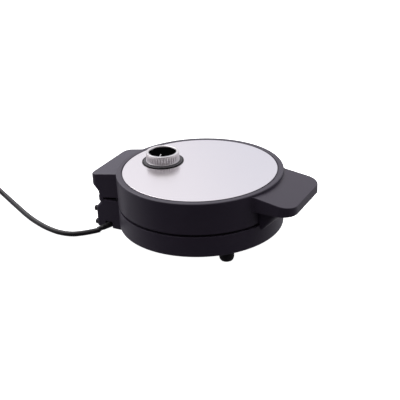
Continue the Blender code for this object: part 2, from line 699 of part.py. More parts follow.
def make_bottom_cover():
    """Disc that closes the base from below, with two rings of vents."""
    radius = WALL_RADIUS - BASE_LAND - SEAT_GAP
    top = FLOOR_GAP + COVER_THICKNESS
    cover = rod("bottom_cover", (0, DISC_Y, FLOOR_GAP), (0, DISC_Y, top), radius, RING_STEPS)
    for ring, vent_radius in enumerate(VENT_RADII):
        for index in range(VENTS_AROUND):
            angle = (index + ring / 2) * 2 * math.pi / VENTS_AROUND
            along = Vector((-math.sin(angle), math.cos(angle), 0)) * (VENT_LENGTH - VENT_WIDTH) / 2
            centre = Vector((math.cos(angle), math.sin(angle), 0)) * vent_radius + Vector((0, DISC_Y, 0))
            corner = VENT_WIDTH / 2
            across = Vector((math.cos(angle), math.sin(angle), 0)) * corner
            spread = along + along.normalized() * corner
            outline = [centre + spread + across, centre + spread - across,
                       centre - spread - across, centre - spread + across]
            vent = slab(f"vent_{ring}_{index}", [[(p.x, p.y) for p in outline]],
                        FLOOR_GAP - OVERRUN, top + OVERRUN)
            cut(cover, vent)
    for name, x, y in cover_screw_places():
        cut(cover, rod(name + "_cover_hole", (x, y, FLOOR_GAP - OVERRUN), (x, y, top + OVERRUN), COVER_HOLE))
    return finish(cover, base, BLACK_PLASTIC, 0.5)


def make_screw(name, x, y, seat, direction, body, grip):
    """A pan-head screw whose head lies against a seat; direction is +1 when it points up."""
    head = seat - direction * (SEAT_GAP + SCREW_HEAD_HEIGHT)
    under = seat - direction * SEAT_GAP
    tip = under + direction * grip
    outer = [(0, tip), (SCREW_SHANK, tip), (SCREW_SHANK, under), (SCREW_HEAD, under), (SCREW_HEAD, head), (0, head)]
    if direction < 0:
        outer.reverse()
    screw = turned(name, outer, (x, y, 0), 12, closed=False)
    return finish(screw, body, STEEL, 0.35, 1.0)


def make_cover_screws():
    for name, x, y in cover_screw_places():
        make_screw(name, x, y, FLOOR_GAP, 1, base, COVER_SCREW_GRIP)


def make_front_feet():
    """Two round moulded feet under the front of the cover."""
    top = FLOOR_GAP - SEAT_GAP
    width = FOOT_RADIUS - FOOT_TIP_RADIUS
    profile = [(0, top), (FOOT_RADIUS, top)]
    for step in range(4):
        angle = step * math.pi / 6
        profile.append((FOOT_TIP_RADIUS + width * math.cos(angle), FOOT_ROUND_Z * (1 - math.sin(angle))))
    profile.append((0, 0))
    for side_name, sign in mirrored_sides():
        x = sign * FOOT_CENTRE_RADIUS * math.sin(FOOT_ANGLE)
        y = DISC_Y - FOOT_CENTRE_RADIUS * math.cos(FOOT_ANGLE)
        foot = turned("front_foot_" + side_name, profile, (x, y, 0), SMALL_STEPS, closed=False)
        finish(foot, base, BLACK_RUBBER, 0.7)


def make_block_cover():
    """Plate that closes the hinge block from below, let in for the rear feet and the strain relief."""
    inset = BLOCK_WALL + SEAT_GAP
    low, high = BASE_BLOCK_BOTTOM_Z, BASE_BLOCK_BOTTOM_Z + BLOCK_COVER
    ring = block_ring(BLOCK_HALF_WIDTH - inset, BASE_BLOCK_FRONT + inset, BASE_BLOCK_REACH - inset,
                      BASE_BLOCK_CORNER - inset, 0)
    plate = slab("hinge_block_cover", [[(x, y) for x, y, _ in ring]], low, high)
    for side_name, sign in mirrored_sides():
        x, y = sign * REAR_FOOT_X, DISC_Y + REAR_FOOT_REACH
        cut(plate, rod("rear_foot_pocket_" + side_name, (x, y, low - OVERRUN),
                       (x, y, REAR_FOOT_HEIGHT + SEAT_GAP), REAR_FOOT_RADIUS + SEAT_GAP))
    cut(plate, rod("relief_trough", EXIT_POINT - EXIT_DIRECTION * (RELIEF_INSIDE + RUNNING_GAP), EXIT_POINT,
                   RELIEF_ROOT_RADIUS + GLAND_BORE_GAP, 16))
    return finish(plate, base, BLACK_PLASTIC, 0.5)


def make_rear_feet():
    for side_name, sign in mirrored_sides():
        x, y = sign * REAR_FOOT_X, DISC_Y + REAR_FOOT_REACH
        foot = rod("rear_foot_" + side_name, (x, y, 0), (x, y, REAR_FOOT_HEIGHT), REAR_FOOT_RADIUS)
        finish(foot, base, BLACK_RUBBER, 0.8)


def make_rear_bumpers():
    """Four short rubber bumpers on the hinge block's rear face."""
    profile = [
        (0, BUMPER_LENGTH),
        (BUMPER_RADIUS - BUMPER_ROUND, BUMPER_LENGTH),
        (BUMPER_RADIUS, BUMPER_LENGTH - BUMPER_ROUND),
        (BUMPER_RADIUS, 0),
        (0, 0),
    ]
    for level_name, level in (("upper", BUMPER_HIGH_Z), ("lower", BUMPER_LOW_Z)):
        for side_name, sign in mirrored_sides():
            at = (sign * BUMPER_X, DISC_Y + BASE_BLOCK_REACH + SEAT_GAP, level)
            bumper = turned(f"rear_bumper_{level_name}_{side_name}", profile, at, 16, closed=False)
            bumper.rotation_euler = (-math.pi / 2, 0, 0)
            finish(bumper, base, GREY_RUBBER, 0.75)


def make_hinge_pins():
    for side_name, sign in mirrored_sides():
        pin = rod("hinge_pin_" + side_name, (sign * PIN_INNER_X, *PIVOT), (sign * PIN_OUTER_X, *PIVOT),
                  PIN_RADIUS, 16)
        finish(pin, base, STEEL, 0.3, 1.0)


# Baking plates and heat

def make_plate(name, body, lip_z, up):
    """Cast plate with a raised lip and a field of pegs; up is +1 for the lower plate.

    The casting is split into its pegged floor and its rim, so that collision stays open between them.
    """
    floor_z = lip_z - up * PLATE_DEPTH
    under_z = floor_z - up * PLATE_THICKNESS
    seat_z = lip_z - up * PLATE_LIP
    rim_profile = [
        (PLATE_SPLIT_RADIUS + SEAT_GAP, floor_z),
        (PLATE_FLOOR_RADIUS, floor_z),
        (PLATE_RIM_RADIUS, lip_z),
        (PLATE_LIP_RADIUS, lip_z),
        (PLATE_LIP_RADIUS, seat_z),
        (PLATE_BODY_RADIUS, seat_z),
        (PLATE_BODY_RADIUS, under_z),
        (PLATE_SPLIT_RADIUS + SEAT_GAP, under_z),
    ]
    if up < 0:
        rim_profile.reverse()
    finish(turned(name + "_rim", rim_profile, (0, DISC_Y, 0)), body, CAST_COATING, 0.45)
    plate = rod(name, (0, DISC_Y, under_z), (0, DISC_Y, floor_z), PLATE_SPLIT_RADIUS, RING_STEPS)
    build = bmesh.new()
    sink = PLATE_THICKNESS / 2
    for column in range(PEG_COUNT_SIDE):
        for row in range(PEG_COUNT_SIDE):
            x = (column - (PEG_COUNT_SIDE - 1) / 2) * PEG_PITCH
            y = (row - (PEG_COUNT_SIDE - 1) / 2) * PEG_PITCH
            if math.hypot(x, y) > PEG_FIELD_RADIUS:
                continue
            made = bmesh.ops.create_cone(
                build, cap_ends=True, segments=4, radius1=PEG_BASE / math.sqrt(2),
                radius2=PEG_TIP / math.sqrt(2), depth=PEG_HEIGHT + sink,
                matrix=Matrix.Rotation(math.pi / 4, 4, "Z"),
            )["verts"]
            if up < 0:
                bmesh.ops.rotate(build, verts=made, cent=(0, 0, 0), matrix=Matrix.Rotation(math.pi, 3, "X"))
            middle = floor_z + up * (PEG_HEIGHT - sink) / 2
            bmesh.ops.translate(build, verts=made, vec=(x, DISC_Y + y, middle))
    join(plate, mesh_object(name + "_pegs", build))
    for side_name, sign in mirrored_sides():
        x = sign * POST_X
        foot = under_z - up * (REFLECTOR_DROP - SEAT_GAP)
        join(plate, rod(f"{name}_post_{side_name}", (x, DISC_Y, foot), (x, DISC_Y, under_z + up * sink),
                        POST_RADIUS, 14))
        cut(plate, rod(f"{name}_post_bore_{side_name}", (x, DISC_Y, foot - up * OVERRUN),
                       (x, DISC_Y, foot + up * POST_BORE_DEPTH), POST_BORE, 10))
    return finish(plate, body, CAST_COATING, 0.45)


LOWER_LIP_Z = BASE_TOP_Z + SEAT_GAP + PLATE_LIP
UPPER_LIP_Z = LID_BOTTOM_Z - SEAT_GAP - PLATE_LIP
LOWER_UNDER_Z = LOWER_LIP_Z - PLATE_DEPTH - PLATE_THICKNESS
UPPER_UNDER_Z = UPPER_LIP_Z + PLATE_DEPTH + PLATE_THICKNESS


def make_element(name, body, under_z, up):
    """Tubular heating element: an open ring against the plate, with two short tails."""
    level = under_z - up * (SEAT_GAP + ELEMENT_RADIUS)
    points = []
    for index in range(ELEMENT_POINTS + 1):
        angle = math.pi / 2 + ELEMENT_OPEN + index * (2 * math.pi - 2 * ELEMENT_OPEN) / ELEMENT_POINTS
        points.append(Vector((ELEMENT_RING * math.cos(angle), ELEMENT_RING * math.sin(angle), 0)))
    tail = Vector((0, ELEMENT_TAIL, 0))
    points = [points[0] + tail] + points + [points[-1] + tail]
    data = bpy.data.curves.new(name, "CURVE")
    data.dimensions = "3D"
    data.bevel_depth = ELEMENT_RADIUS
    data.bevel_resolution = 2
    data.use_fill_caps = True
    spline = data.splines.new("POLY")
    spline.points.add(len(points) - 1)
    for point, place_at in zip(spline.points, points):
        point.co = (*place_at, 1)
    element = place(bpy.data.objects.new(name, data))
    element.location = (0, DISC_Y, level)
    return finish(element, body, ALUMINIUM, 0.4, 0.8)


def make_reflector(name, body, under_z, up):
    """Thin aluminium dish behind the element, held by two screws in the plate's posts."""
    near = under_z - up * REFLECTOR_DROP
    far = near - up * REFLECTOR
    rim = under_z - up * SEAT_GAP
    profile = [
        (0, near),
        (REFLECTOR_FLOOR_RADIUS, near),
        (REFLECTOR_RIM_RADIUS - REFLECTOR, rim),
        (REFLECTOR_RIM_RADIUS, rim),
        (REFLECTOR_FLOOR_RADIUS + REFLECTOR, far),
        (0, far),
    ]
    if up < 0:
        profile.reverse()
    dish = turned(name, profile, (0, DISC_Y, 0), 40, closed=False)
    for side_name, sign in mirrored_sides():
        x = sign * POST_X
        cut(dish, rod(f"{name}_hole_{side_name}", (x, DISC_Y, near + up * OVERRUN), (x, DISC_Y, far - up * OVERRUN),
                      POST_BORE, 10))
        make_screw(f"{name}_screw_{side_name}", x, DISC_Y, far, up, body, POST_SCREW_GRIP)
    return finish(dish, body, ALUMINIUM, 0.3, 1.0)


def make_thermal_fuse():
    """Small one-shot fuse against the lower plate's underside."""
    level = LOWER_UNDER_Z - SEAT_GAP - FUSE_RADIUS
    y = DISC_Y + FUSE_Y
    fuse = rod("thermal_fuse", (-FUSE_LENGTH / 2, y, level), (FUSE_LENGTH / 2, y, level), FUSE_RADIUS, 12)
    return finish(fuse, base, CERAMIC, 0.6)


# Lid

def make_lid_housing():
    """Moulded ring with the handle in front and the upper hinge block behind."""
    seat_inner = WALL_RADIUS - PLATE_SEAT_WIDTH
    ledge_top = PANEL_TOP_Z - PANEL_EDGE - SEAT_GAP
    crown = PANEL_TOP_Z - PANEL_EDGE_ROUND / 2
    housing = turned("lid_housing", [
        (RIM_INNER_RADIUS, crown),
        (RIM_RADIUS - 2 * WALL / 3, crown),
        (RIM_RADIUS - WALL / 3, RIM_Z - WALL / 4),
        (RIM_RADIUS, RIM_Z - WALL),
        (WALL_RADIUS, LID_BOTTOM_Z),
        (seat_inner, LID_BOTTOM_Z),
        (seat_inner, LID_BOTTOM_Z + FLANGE),
        (INNER_RADIUS, LID_BOTTOM_Z + FLANGE),
        (INNER_RADIUS, ledge_top - LEDGE),
        (LEDGE_INNER_RADIUS, ledge_top - LEDGE),
        (LEDGE_INNER_RADIUS, ledge_top),
        (RIM_INNER_RADIUS, ledge_top),
    ], (0, DISC_Y, 0))

    inside_low, inside_high = LID_BOTTOM_Z - OVERRUN, RIM_Z
    handle = loft("lid_handle", [handle_ring(0, HANDLE_UNDER_Z), handle_ring(0, handle_top)])
    cut(handle, disc_cutter("lid_handle_inside", INNER_RADIUS + SEAT_GAP, inside_low, inside_high))
    join(housing, handle)

    block = loft("lid_block", [
        block_ring(BLOCK_HALF_WIDTH, LID_BLOCK_FRONT, LID_BLOCK_NECK_LOW_REACH, LID_BLOCK_NECK_CORNER,
                   lid_block_low),
        block_ring(BLOCK_HALF_WIDTH, LID_BLOCK_FRONT, LID_BLOCK_NECK_REACH, LID_BLOCK_NECK_CORNER,
                   LID_BLOCK_NECK_Z),
        block_ring(BLOCK_HALF_WIDTH, LID_BLOCK_FRONT, REAR_REACH, LID_BLOCK_CORNER, LID_BLOCK_STEP_Z),
        block_ring(BLOCK_HALF_WIDTH, LID_BLOCK_FRONT, REAR_REACH, LID_BLOCK_CORNER, lid_block_top),
    ])
    cut(block, disc_cutter("lid_block_inside", INNER_RADIUS + SEAT_GAP, HINGE_Z - OVERRUN, inside_high))
    join(housing, block)

    hollow = loft("lid_handle_hollow", [
        handle_ring(HANDLE_WALL, HANDLE_UNDER_Z - OVERRUN),
        handle_ring(HANDLE_WALL, lambda y: handle_top(y) - HANDLE_WALL),
    ])
    cut(hollow, disc_cutter("lid_handle_hollow_back", WALL_RADIUS + SEAT_GAP, inside_low, inside_high))
    cut(housing, hollow)

    side = BLOCK_HALF_WIDTH - BLOCK_WALL
    corner = LID_BLOCK_CORNER - BLOCK_WALL
    neck_corner = LID_BLOCK_NECK_CORNER - BLOCK_WALL
    neck = LID_BLOCK_NECK_REACH - BLOCK_WALL
    neck_low = LID_BLOCK_NECK_LOW_REACH - BLOCK_WALL
    cavity = loft("lid_block_cavity", [
        block_ring(side, LID_BLOCK_FRONT, neck_low, neck_corner, HINGE_Z - BARREL_RADIUS - OVERRUN),
        block_ring(side, LID_BLOCK_FRONT, neck, neck_corner, LID_BLOCK_NECK_Z + BLOCK_WALL / 2),
        block_ring(side, LID_BLOCK_FRONT, REAR_REACH - BLOCK_WALL, corner, LID_BLOCK_STEP_Z + BLOCK_WALL / 2),
        block_ring(side, LID_BLOCK_FRONT, REAR_REACH - BLOCK_WALL, corner, lambda y: lid_block_top(y) - BLOCK_WALL),
    ])
    cut(cavity, disc_cutter("lid_block_cavity_front", WALL_RADIUS + SEAT_GAP, HINGE_Z - BARREL_RADIUS - 2 * OVERRUN,
                            inside_high))
    cut(housing, cavity)
    cut(housing, box("lid_wire_slot", (-WIRE_SLOT_HALF, DISC_Y + INNER_RADIUS - OVERRUN, LID_WIRE_LOW_Z),
                     (WIRE_SLOT_HALF, DISC_Y + WALL_RADIUS + OVERRUN, LID_WIRE_HIGH_Z)))

    join(housing, sector("notch_wall", NOTCH_INNER_RADIUS - NOTCH_WALL, INNER_RADIUS + WALL / 2, LID_BOTTOM_Z,
                         NOTCH_TOP_Z + NOTCH_WALL, NOTCH_HALF_WIDTH + NOTCH_WALL))
    cut(housing, sector("notch", NOTCH_INNER_RADIUS, RIM_RADIUS + OVERRUN, LID_BOTTOM_Z - OVERRUN, NOTCH_TOP_Z,
                        NOTCH_HALF_WIDTH))

    cut(housing, rod("knuckle_room", (-KNUCKLE_OUTER_X - SEAT_GAP, *PIVOT), (KNUCKLE_OUTER_X + SEAT_GAP, *PIVOT),
                     BARREL_RADIUS + RUNNING_GAP))
    for side_name, sign in mirrored_sides():
        inner = sign * (KNUCKLE_OUTER_X + RUNNING_GAP)
        barrel = rod("lid_barrel_" + side_name, (inner, *PIVOT), (sign * BLOCK_HALF_WIDTH, *PIVOT), BARREL_RADIUS)
        outline = block_ring(BLOCK_HALF_WIDTH, LID_BLOCK_FRONT, LID_BLOCK_NECK_REACH, LID_BLOCK_NECK_CORNER, 0)
        overlap(barrel, slab("lid_barrel_outline_" + side_name, [[(x, y) for x, y, _ in outline]],
                             HINGE_Z - BARREL_RADIUS - OVERRUN, HINGE_Z + BARREL_RADIUS + OVERRUN))
        join(housing, barrel)
        cut(housing, rod("lid_pin_bore_" + side_name, (sign * KNUCKLE_OUTER_X, *PIVOT),
                         (sign * (PIN_OUTER_X + PIN_END_GAP), *PIVOT), PIN_RADIUS + SEAT_GAP))
    for side_name, sign in mirrored_sides():
        x, y = sign * HANDLE_SCREW_X, DISC_Y - HANDLE_SCREW_REACH
        boss_low = HANDLE_UNDER_Z + HANDLE_COVER + SEAT_GAP
        top = handle_top(-HANDLE_SCREW_REACH) - HANDLE_WALL / 2
        join(housing, rod("handle_boss_" + side_name, (x, y, boss_low), (x, y, top), POST_RADIUS, 14))
        cut(housing, rod("handle_boss_bore_" + side_name, (x, y, boss_low - OVERRUN),
                         (x, y, boss_low + POST_BORE_DEPTH), POST_BORE, 10))
    return finish(housing, lid, BLACK_PLASTIC, 0.42)


def make_handle_cover():
    """Plate that closes the handle from below, with its two screws let in."""
    inset = HANDLE_WALL + SEAT_GAP
    low, high = HANDLE_UNDER_Z, HANDLE_UNDER_Z + HANDLE_COVER
    ring = handle_ring(inset, 0)
    cover = slab("handle_cover", [[(x, y) for x, y, _ in ring]], low, high)
    cut(cover, disc_cutter("handle_cover_back", WALL_RADIUS + 2 * SEAT_GAP, low - OVERRUN, high + OVERRUN))
    seat = low + SCREW_HEAD_HEIGHT + SEAT_GAP
    for side_name, sign in mirrored_sides():
        x, y = sign * HANDLE_SCREW_X, DISC_Y - HANDLE_SCREW_REACH
        cut(cover, rod("handle_screw_pocket_" + side_name, (x, y, low - OVERRUN), (x, y, seat),
                       SCREW_HEAD + SEAT_GAP, 14))
        cut(cover, rod("handle_screw_hole_" + side_name, (x, y, low), (x, y, high + OVERRUN), POST_BORE, 10))
        make_screw("handle_screw_" + side_name, x, y, seat, 1, lid, POST_SCREW_GRIP)
    return finish(cover, lid, BLACK_PLASTIC, 0.5)


def make_lid_panel():
    """Pressed stainless disc let into the lid's rim, with a hole for the thermostat's shaft."""
    under = PANEL_TOP_Z - PANEL_THICKNESS
    foot = PANEL_TOP_Z - PANEL_EDGE
    panel = turned("lid_panel", [
        (0, PANEL_TOP_Z),
        (PANEL_RADIUS - PANEL_EDGE_ROUND, PANEL_TOP_Z),
        (PANEL_RADIUS, PANEL_TOP_Z - PANEL_EDGE_ROUND),
        (PANEL_RADIUS, foot),
        (PANEL_RADIUS - PANEL_THICKNESS, foot),
        (PANEL_RADIUS - PANEL_THICKNESS, under),
        (0, under),
    ], (0, DISC_Y, 0), closed=False)
    cut(panel, rod("panel_hole", (*DIAL_AT, under - OVERRUN), (*DIAL_AT, PANEL_TOP_Z + OVERRUN), PANEL_HOLE))
    return finish(panel, lid, STEEL, 0.28, 1.0)


def make_dial_bezel():
    """Flat scale ring round the knob."""
    low = PANEL_TOP_Z + SEAT_GAP
    top = low + BEZEL_THICKNESS
    bezel = turned("dial_bezel", [
        (BEZEL_HOLE, top),
        (BEZEL_RADIUS - BEZEL_BEVEL, top),
        (BEZEL_RADIUS, top - BEZEL_BEVEL),
        (BEZEL_RADIUS, low),
        (BEZEL_HOLE, low),
    ], (*DIAL_AT, 0), 48)
    return finish(bezel, lid, (0.03, 0.03, 0.033, 1), 0.4)


def make_thermostat():
    """Bracket under the panel, the switch body under it, and the shaft that the knob turns."""
    bracket_top = PANEL_TOP_Z - PANEL_THICKNESS - SEAT_GAP
    bracket_low = bracket_top - BRACKET
    half, depth = BRACKET_LENGTH / 2, BRACKET_WIDTH / 2
    corners = [(-half, -depth), (half, -depth), (half, depth), (-half, depth)]
    outline = rounded([(DIAL_AT[0] + x, DIAL_AT[1] + y, BRACKET_CORNER) for x, y in corners], 3)
    bracket = slab("thermostat_bracket", [outline], bracket_low, bracket_top)
    cut(bracket, rod("bracket_hole", (*DIAL_AT, bracket_low - OVERRUN), (*DIAL_AT, bracket_top + OVERRUN),
                     SHAFT_RADIUS + RUNNING_GAP))
    finish(bracket, lid, STEEL, 0.4, 1.0)
    body_top = bracket_low - SEAT_GAP
    body = rod("thermostat_body", (*DIAL_AT, body_top - BODY_HEIGHT), (*DIAL_AT, body_top), BODY_RADIUS, 24)
    finish(body, lid, CERAMIC, 0.55)
    bezel_top = PANEL_TOP_Z + SEAT_GAP + BEZEL_THICKNESS
    shaft = rod("thermostat_shaft", (*DIAL_AT, body_top + SEAT_GAP), (*DIAL_AT, bezel_top + CAP_SINK + SHAFT_GRIP),
                SHAFT_RADIUS, 16)
    finish(shaft, knob, STEEL, 0.35, 1.0)


def knob_ring(radius, height, flute=0.0):
    """A ring of the knob; every other point is drawn in by the flute's depth."""
    ring = []
    for index in range(2 * FLUTES):
        reach = radius - flute * (index % 2)
        angle = index * math.pi / FLUTES
        ring.append((DIAL_AT[0] + reach * math.cos(angle), DIAL_AT[1] + reach * math.sin(angle), height))
    return ring


def make_knob():
    """Fluted silver skirt, black cap let into it, and a small raised pointer."""
    low = PANEL_TOP_Z + SEAT_GAP + BEZEL_THICKNESS + SEAT_GAP
    top = low + KNOB_HEIGHT
    flute_radius = KNOB_BASE_RADIUS - FLUTE_DEPTH / 2
    skirt = loft("knob_skirt", [
        knob_ring(KNOB_BORE, low),
        knob_ring(KNOB_BASE_RADIUS, low),
        knob_ring(KNOB_BASE_RADIUS, low + KNOB_BASE_BAND),
        knob_ring(flute_radius, low + KNOB_BASE_BAND + KNOB_TOP_CHAMFER, FLUTE_DEPTH),
        knob_ring(KNOB_TOP_RADIUS, top - KNOB_TOP_BAND - KNOB_TOP_CHAMFER, FLUTE_DEPTH),
        knob_ring(KNOB_TOP_RADIUS, top - KNOB_TOP_BAND),
        knob_ring(KNOB_TOP_RADIUS - KNOB_TOP_CHAMFER, top),
        knob_ring(KNOB_BORE, top),
    ], closed=True)
    finish(skirt, knob, CHROME, 0.18, 1.0)
    cap_top = top - CAP_RECESS
    foot = PANEL_TOP_Z + SEAT_GAP + BEZEL_THICKNESS + CAP_SINK
    radius = KNOB_BORE - SEAT_GAP
    cap = turned("knob_cap", [(0, cap_top), (radius, cap_top), (radius, foot), (0, foot)], (*DIAL_AT, 0), 40,
                 closed=False)
    cut(cap, rod("cap_bore", (*DIAL_AT, foot - OVERRUN), (*DIAL_AT, foot + SHAFT_GRIP + SEAT_GAP),
                 SHAFT_RADIUS + SEAT_GAP, 16))
    finish(cap, knob, BLACK_PLASTIC, 0.3)
    outer = radius - POINTER_INSET
    low_z = cap_top + SEAT_GAP
    pointer = box("knob_pointer", (outer - POINTER_LENGTH, -POINTER_WIDTH / 2, low_z),
                  (outer, POINTER_WIDTH / 2, low_z + POINTER_HEIGHT))
    pointer.data.transform(Matrix.Rotation(POINTER_ANGLE, 4, "Z"))
    pointer.location = (*DIAL_AT, 0)
    finish(pointer, knob, CHROME, 0.25, 1.0)


# Mains lead

EXIT_DIRECTION = Vector((-math.cos(EXIT_ANGLE), math.sin(EXIT_ANGLE), 0))
EXIT_POINT = Vector((-BLOCK_HALF_WIDTH, DISC_Y + EXIT_REACH, EXIT_Z))
COIL_BASE_Z = TIE_THICKNESS + SEAT_GAP + CORD_DIAMETER / 2


def make_relief_and_gland():
    """Tapered strain relief through the side wall, and the gland that holds its root."""
    root = EXIT_POINT - EXIT_DIRECTION * RELIEF_INSIDE
    tip = EXIT_POINT + EXIT_DIRECTION * RELIEF_OUTSIDE
    relief = rod("strain_relief", root, tip, RELIEF_ROOT_RADIUS, 16, RELIEF_TIP_RADIUS)
    finish(relief, base, BLACK_RUBBER, 0.6)
    along = (GLAND_X - BLOCK_HALF_WIDTH) / EXIT_DIRECTION.x
    centre = EXIT_POINT - EXIT_DIRECTION * abs(along)
    low_z = BASE_BLOCK_BOTTOM_Z + BLOCK_COVER + SEAT_GAP
    gland = box("cord_gland", (centre.x - GLAND_LENGTH / 2, centre.y - GLAND_WIDTH / 2, low_z),
                (centre.x + GLAND_LENGTH / 2, centre.y + GLAND_WIDTH / 2, low_z + GLAND_HEIGHT))
    cut(gland, rod("gland_bore", root - EXIT_DIRECTION * OVERRUN, EXIT_POINT,
                   RELIEF_ROOT_RADIUS + GLAND_BORE_GAP, 16))
    finish(gland, base, BLACK_PLASTIC, 0.5)
    return tip


def make_terminal_block():
    """Screw terminal that joins the lead to the elements' wires."""
    y = DISC_Y + TERMINAL_REACH
    low_z = BASE_BLOCK_BOTTOM_Z + BLOCK_COVER + SEAT_GAP
    block = box("terminal_block", (TERMINAL_X - TERMINAL_LENGTH / 2, y - TERMINAL_WIDTH / 2, low_z),
                (TERMINAL_X + TERMINAL_LENGTH / 2, y + TERMINAL_WIDTH / 2, low_z + TERMINAL_HEIGHT))
    bevel = block.modifiers.new("edges", "BEVEL")
    bevel.width = TERMINAL_BEVEL
    bevel.segments = 1
    finish(block, base, CERAMIC, 0.6)


def smooth_points(route, heading_in, heading_out, count):
    """Points at even steps along a cubic curve through the route's own points."""
    route = [Vector(point) for point in route]
    tangents = [heading_in * (route[1] - route[0]).length]
    for before, after in zip(route, route[2:]):
        tangents.append((after - before) / 2)
    tangents.append(heading_out * (route[-1] - route[-2]).length)
    fine = []
    pieces = 12
    for index in range(len(route) - 1):
        for step in range(pieces):
            t = step / pieces
            fine.append(
                route[index] * (2 * t ** 3 - 3 * t ** 2 + 1) + tangents[index] * (t ** 3 - 2 * t ** 2 + t)
                + route[index + 1] * (3 * t ** 2 - 2 * t ** 3) + tangents[index + 1] * (t ** 3 - t ** 2)
            )
    fine.append(route[-1])
    lengths = [0]
    for before, after in zip(fine, fine[1:]):
        lengths.append(lengths[-1] + (after - before).length)
    spaced, index = [], 0
    for step in range(count):
        wanted = lengths[-1] * step / (count - 1)
        while index < len(fine) - 2 and lengths[index + 1] < wanted:
            index += 1
        share = (wanted - lengths[index]) / (lengths[index + 1] - lengths[index])
        spaced.append(fine[index].lerp(fine[index + 1], share))
    return spaced, lengths[-1]


def tube(name, points, sides_setting):
    """A cord along points: a poly spline with a round bevel and filled ends."""
    data = bpy.data.curves.new(name, "CURVE")
    data.dimensions = "3D"
    data.bevel_depth = CORD_DIAMETER / 2
    data.bevel_resolution = sides_setting
    data.use_fill_caps = True
    spline = data.splines.new("POLY")
    spline.points.add(len(points) - 1)
    for point, at in zip(spline.points, points):
        point.co = (*at, 1)
    cord = place(bpy.data.objects.new(name, data))
    return finish(cord, base, BLACK_RUBBER, 0.55)


def coil_points():
    """Two layers of round turns: in along the surface, up in half a turn, and out again on top."""
    heading = Vector((math.cos(COIL_HEADING), math.sin(COIL_HEADING), 0))
    inward = Vector((-heading.y, heading.x, 0))
    start = Vector((*COIL_START, COIL_BASE_Z))
    centre = start + inward * COIL_OUTER
    turns = 2 * COIL_LAYER_TURNS + COIL_CLIMB_TURNS
    first_angle = math.atan2(-inward.y, -inward.x)
    count = round(turns * COIL_LOOP_POINTS)
    points = []
    for index in range(count + 1):
        turned_by = turns * index / count
        climb = min(max(turned_by - COIL_LAYER_TURNS, 0), COIL_CLIMB_TURNS) / COIL_CLIMB_TURNS
        radius = COIL_OUTER - COIL_PITCH * (turns / 2 - abs(turned_by - turns / 2))
        rise = climb * climb * (3 - 2 * climb)
        angle = first_angle + 2 * math.pi * turned_by
        points.append(Vector((centre.x + radius * math.cos(angle), centre.y + radius * math.sin(angle),
                              COIL_BASE_Z + COIL_PITCH * rise)))
    end_heading = Vector((-math.sin(angle), math.cos(angle), 0))
    lead_in = start - heading * CORD_DIAMETER
    tail = points[-1] + end_heading * CORD_DIAMETER
    return [lead_in] + points + [tail], heading, end_heading, centre


def least_gap(points):
    """The least air between stretches of a tube that are more than a few diameters apart along it."""
    fine = []
    for before, after in zip(points, points[1:]):
        steps = max(1, round((after - before).length / (CORD_DIAMETER / 3)))
        fine += [before.lerp(after, step / steps) for step in range(steps)]
    apart = 12
    least = min((first - second).length for index, first in enumerate(fine) for second in fine[index + apart:])
    return least - CORD_DIAMETER


def make_cord(relief_tip):
    """The lead along the surface, the coil of its unseen length, the tie, and the plug."""
    coil, heading, end_heading, centre = coil_points()
    tube("power_cord_coil", coil, 1)
    print("least gap in the coil, mm:", round(least_gap(coil) * 1000, 3))
    start = relief_tip + EXIT_DIRECTION * SEAT_GAP
    end = coil[0] - heading * SEAT_GAP
    first = start + EXIT_DIRECTION * CORD_DIAMETER
    last = end - heading * CORD_DIAMETER
    points, length = smooth_points([first] + list(LEAD_ROUTE) + [last], EXIT_DIRECTION, heading, LEAD_POINTS)
    length += 2 * CORD_DIAMETER
    tube("power_cord", [start] + points + [end], 2)
    coiled = sum((after - before).length for before, after in zip(coil, coil[1:]))
    print("lead, mm:", round(length * 1000, 1), "coil, mm:", round(coiled * 1000, 1))
    make_tie(centre, coil)
    make_plug(coil[-1] + end_heading * SEAT_GAP, end_heading)


def make_tie(centre, coil):
    """A thin band round all the turns at one place."""
    arms = [point - Vector((centre.x, centre.y, point.z)) for point in coil]
    here = Vector((math.cos(TIE_ANGLE), math.sin(TIE_ANGLE), 0))
    reaches = [arm.length for arm in arms if arm.angle(here) < 2 * math.pi / COIL_LOOP_POINTS]
    inner = min(reaches) - CORD_DIAMETER / 2 - TIE_SLACK
    outer = max(reaches) + CORD_DIAMETER / 2 + TIE_SLACK
    low = TIE_THICKNESS
    high = COIL_BASE_Z + COIL_PITCH + CORD_DIAMETER / 2 + TIE_SLACK
    hole = rounded([(inner, low, 0.0012), (outer, low, 0.0012), (outer, high, 0.0012), (inner, high, 0.0012)], 2)
    skin = TIE_THICKNESS
    ring = rounded([(inner - skin, low - skin, 0.0018), (outer + skin, low - skin, 0.0018),
                    (outer + skin, high + skin, 0.0018), (inner - skin, high + skin, 0.0018)], 2)
    band = slab("cord_tie", [ring, hole], -TIE_WIDTH / 2, TIE_WIDTH / 2)
    stand = Matrix(((1, 0, 0, 0), (0, 0, -1, 0), (0, 1, 0, 0), (0, 0, 0, 1)))
    band.data.transform(Matrix.Rotation(TIE_ANGLE, 4, "Z") @ stand @ Matrix.Translation(band.location))
    band.location = (centre.x, centre.y, 0)
    finish(band, base, BLACK_PLASTIC, 0.6)


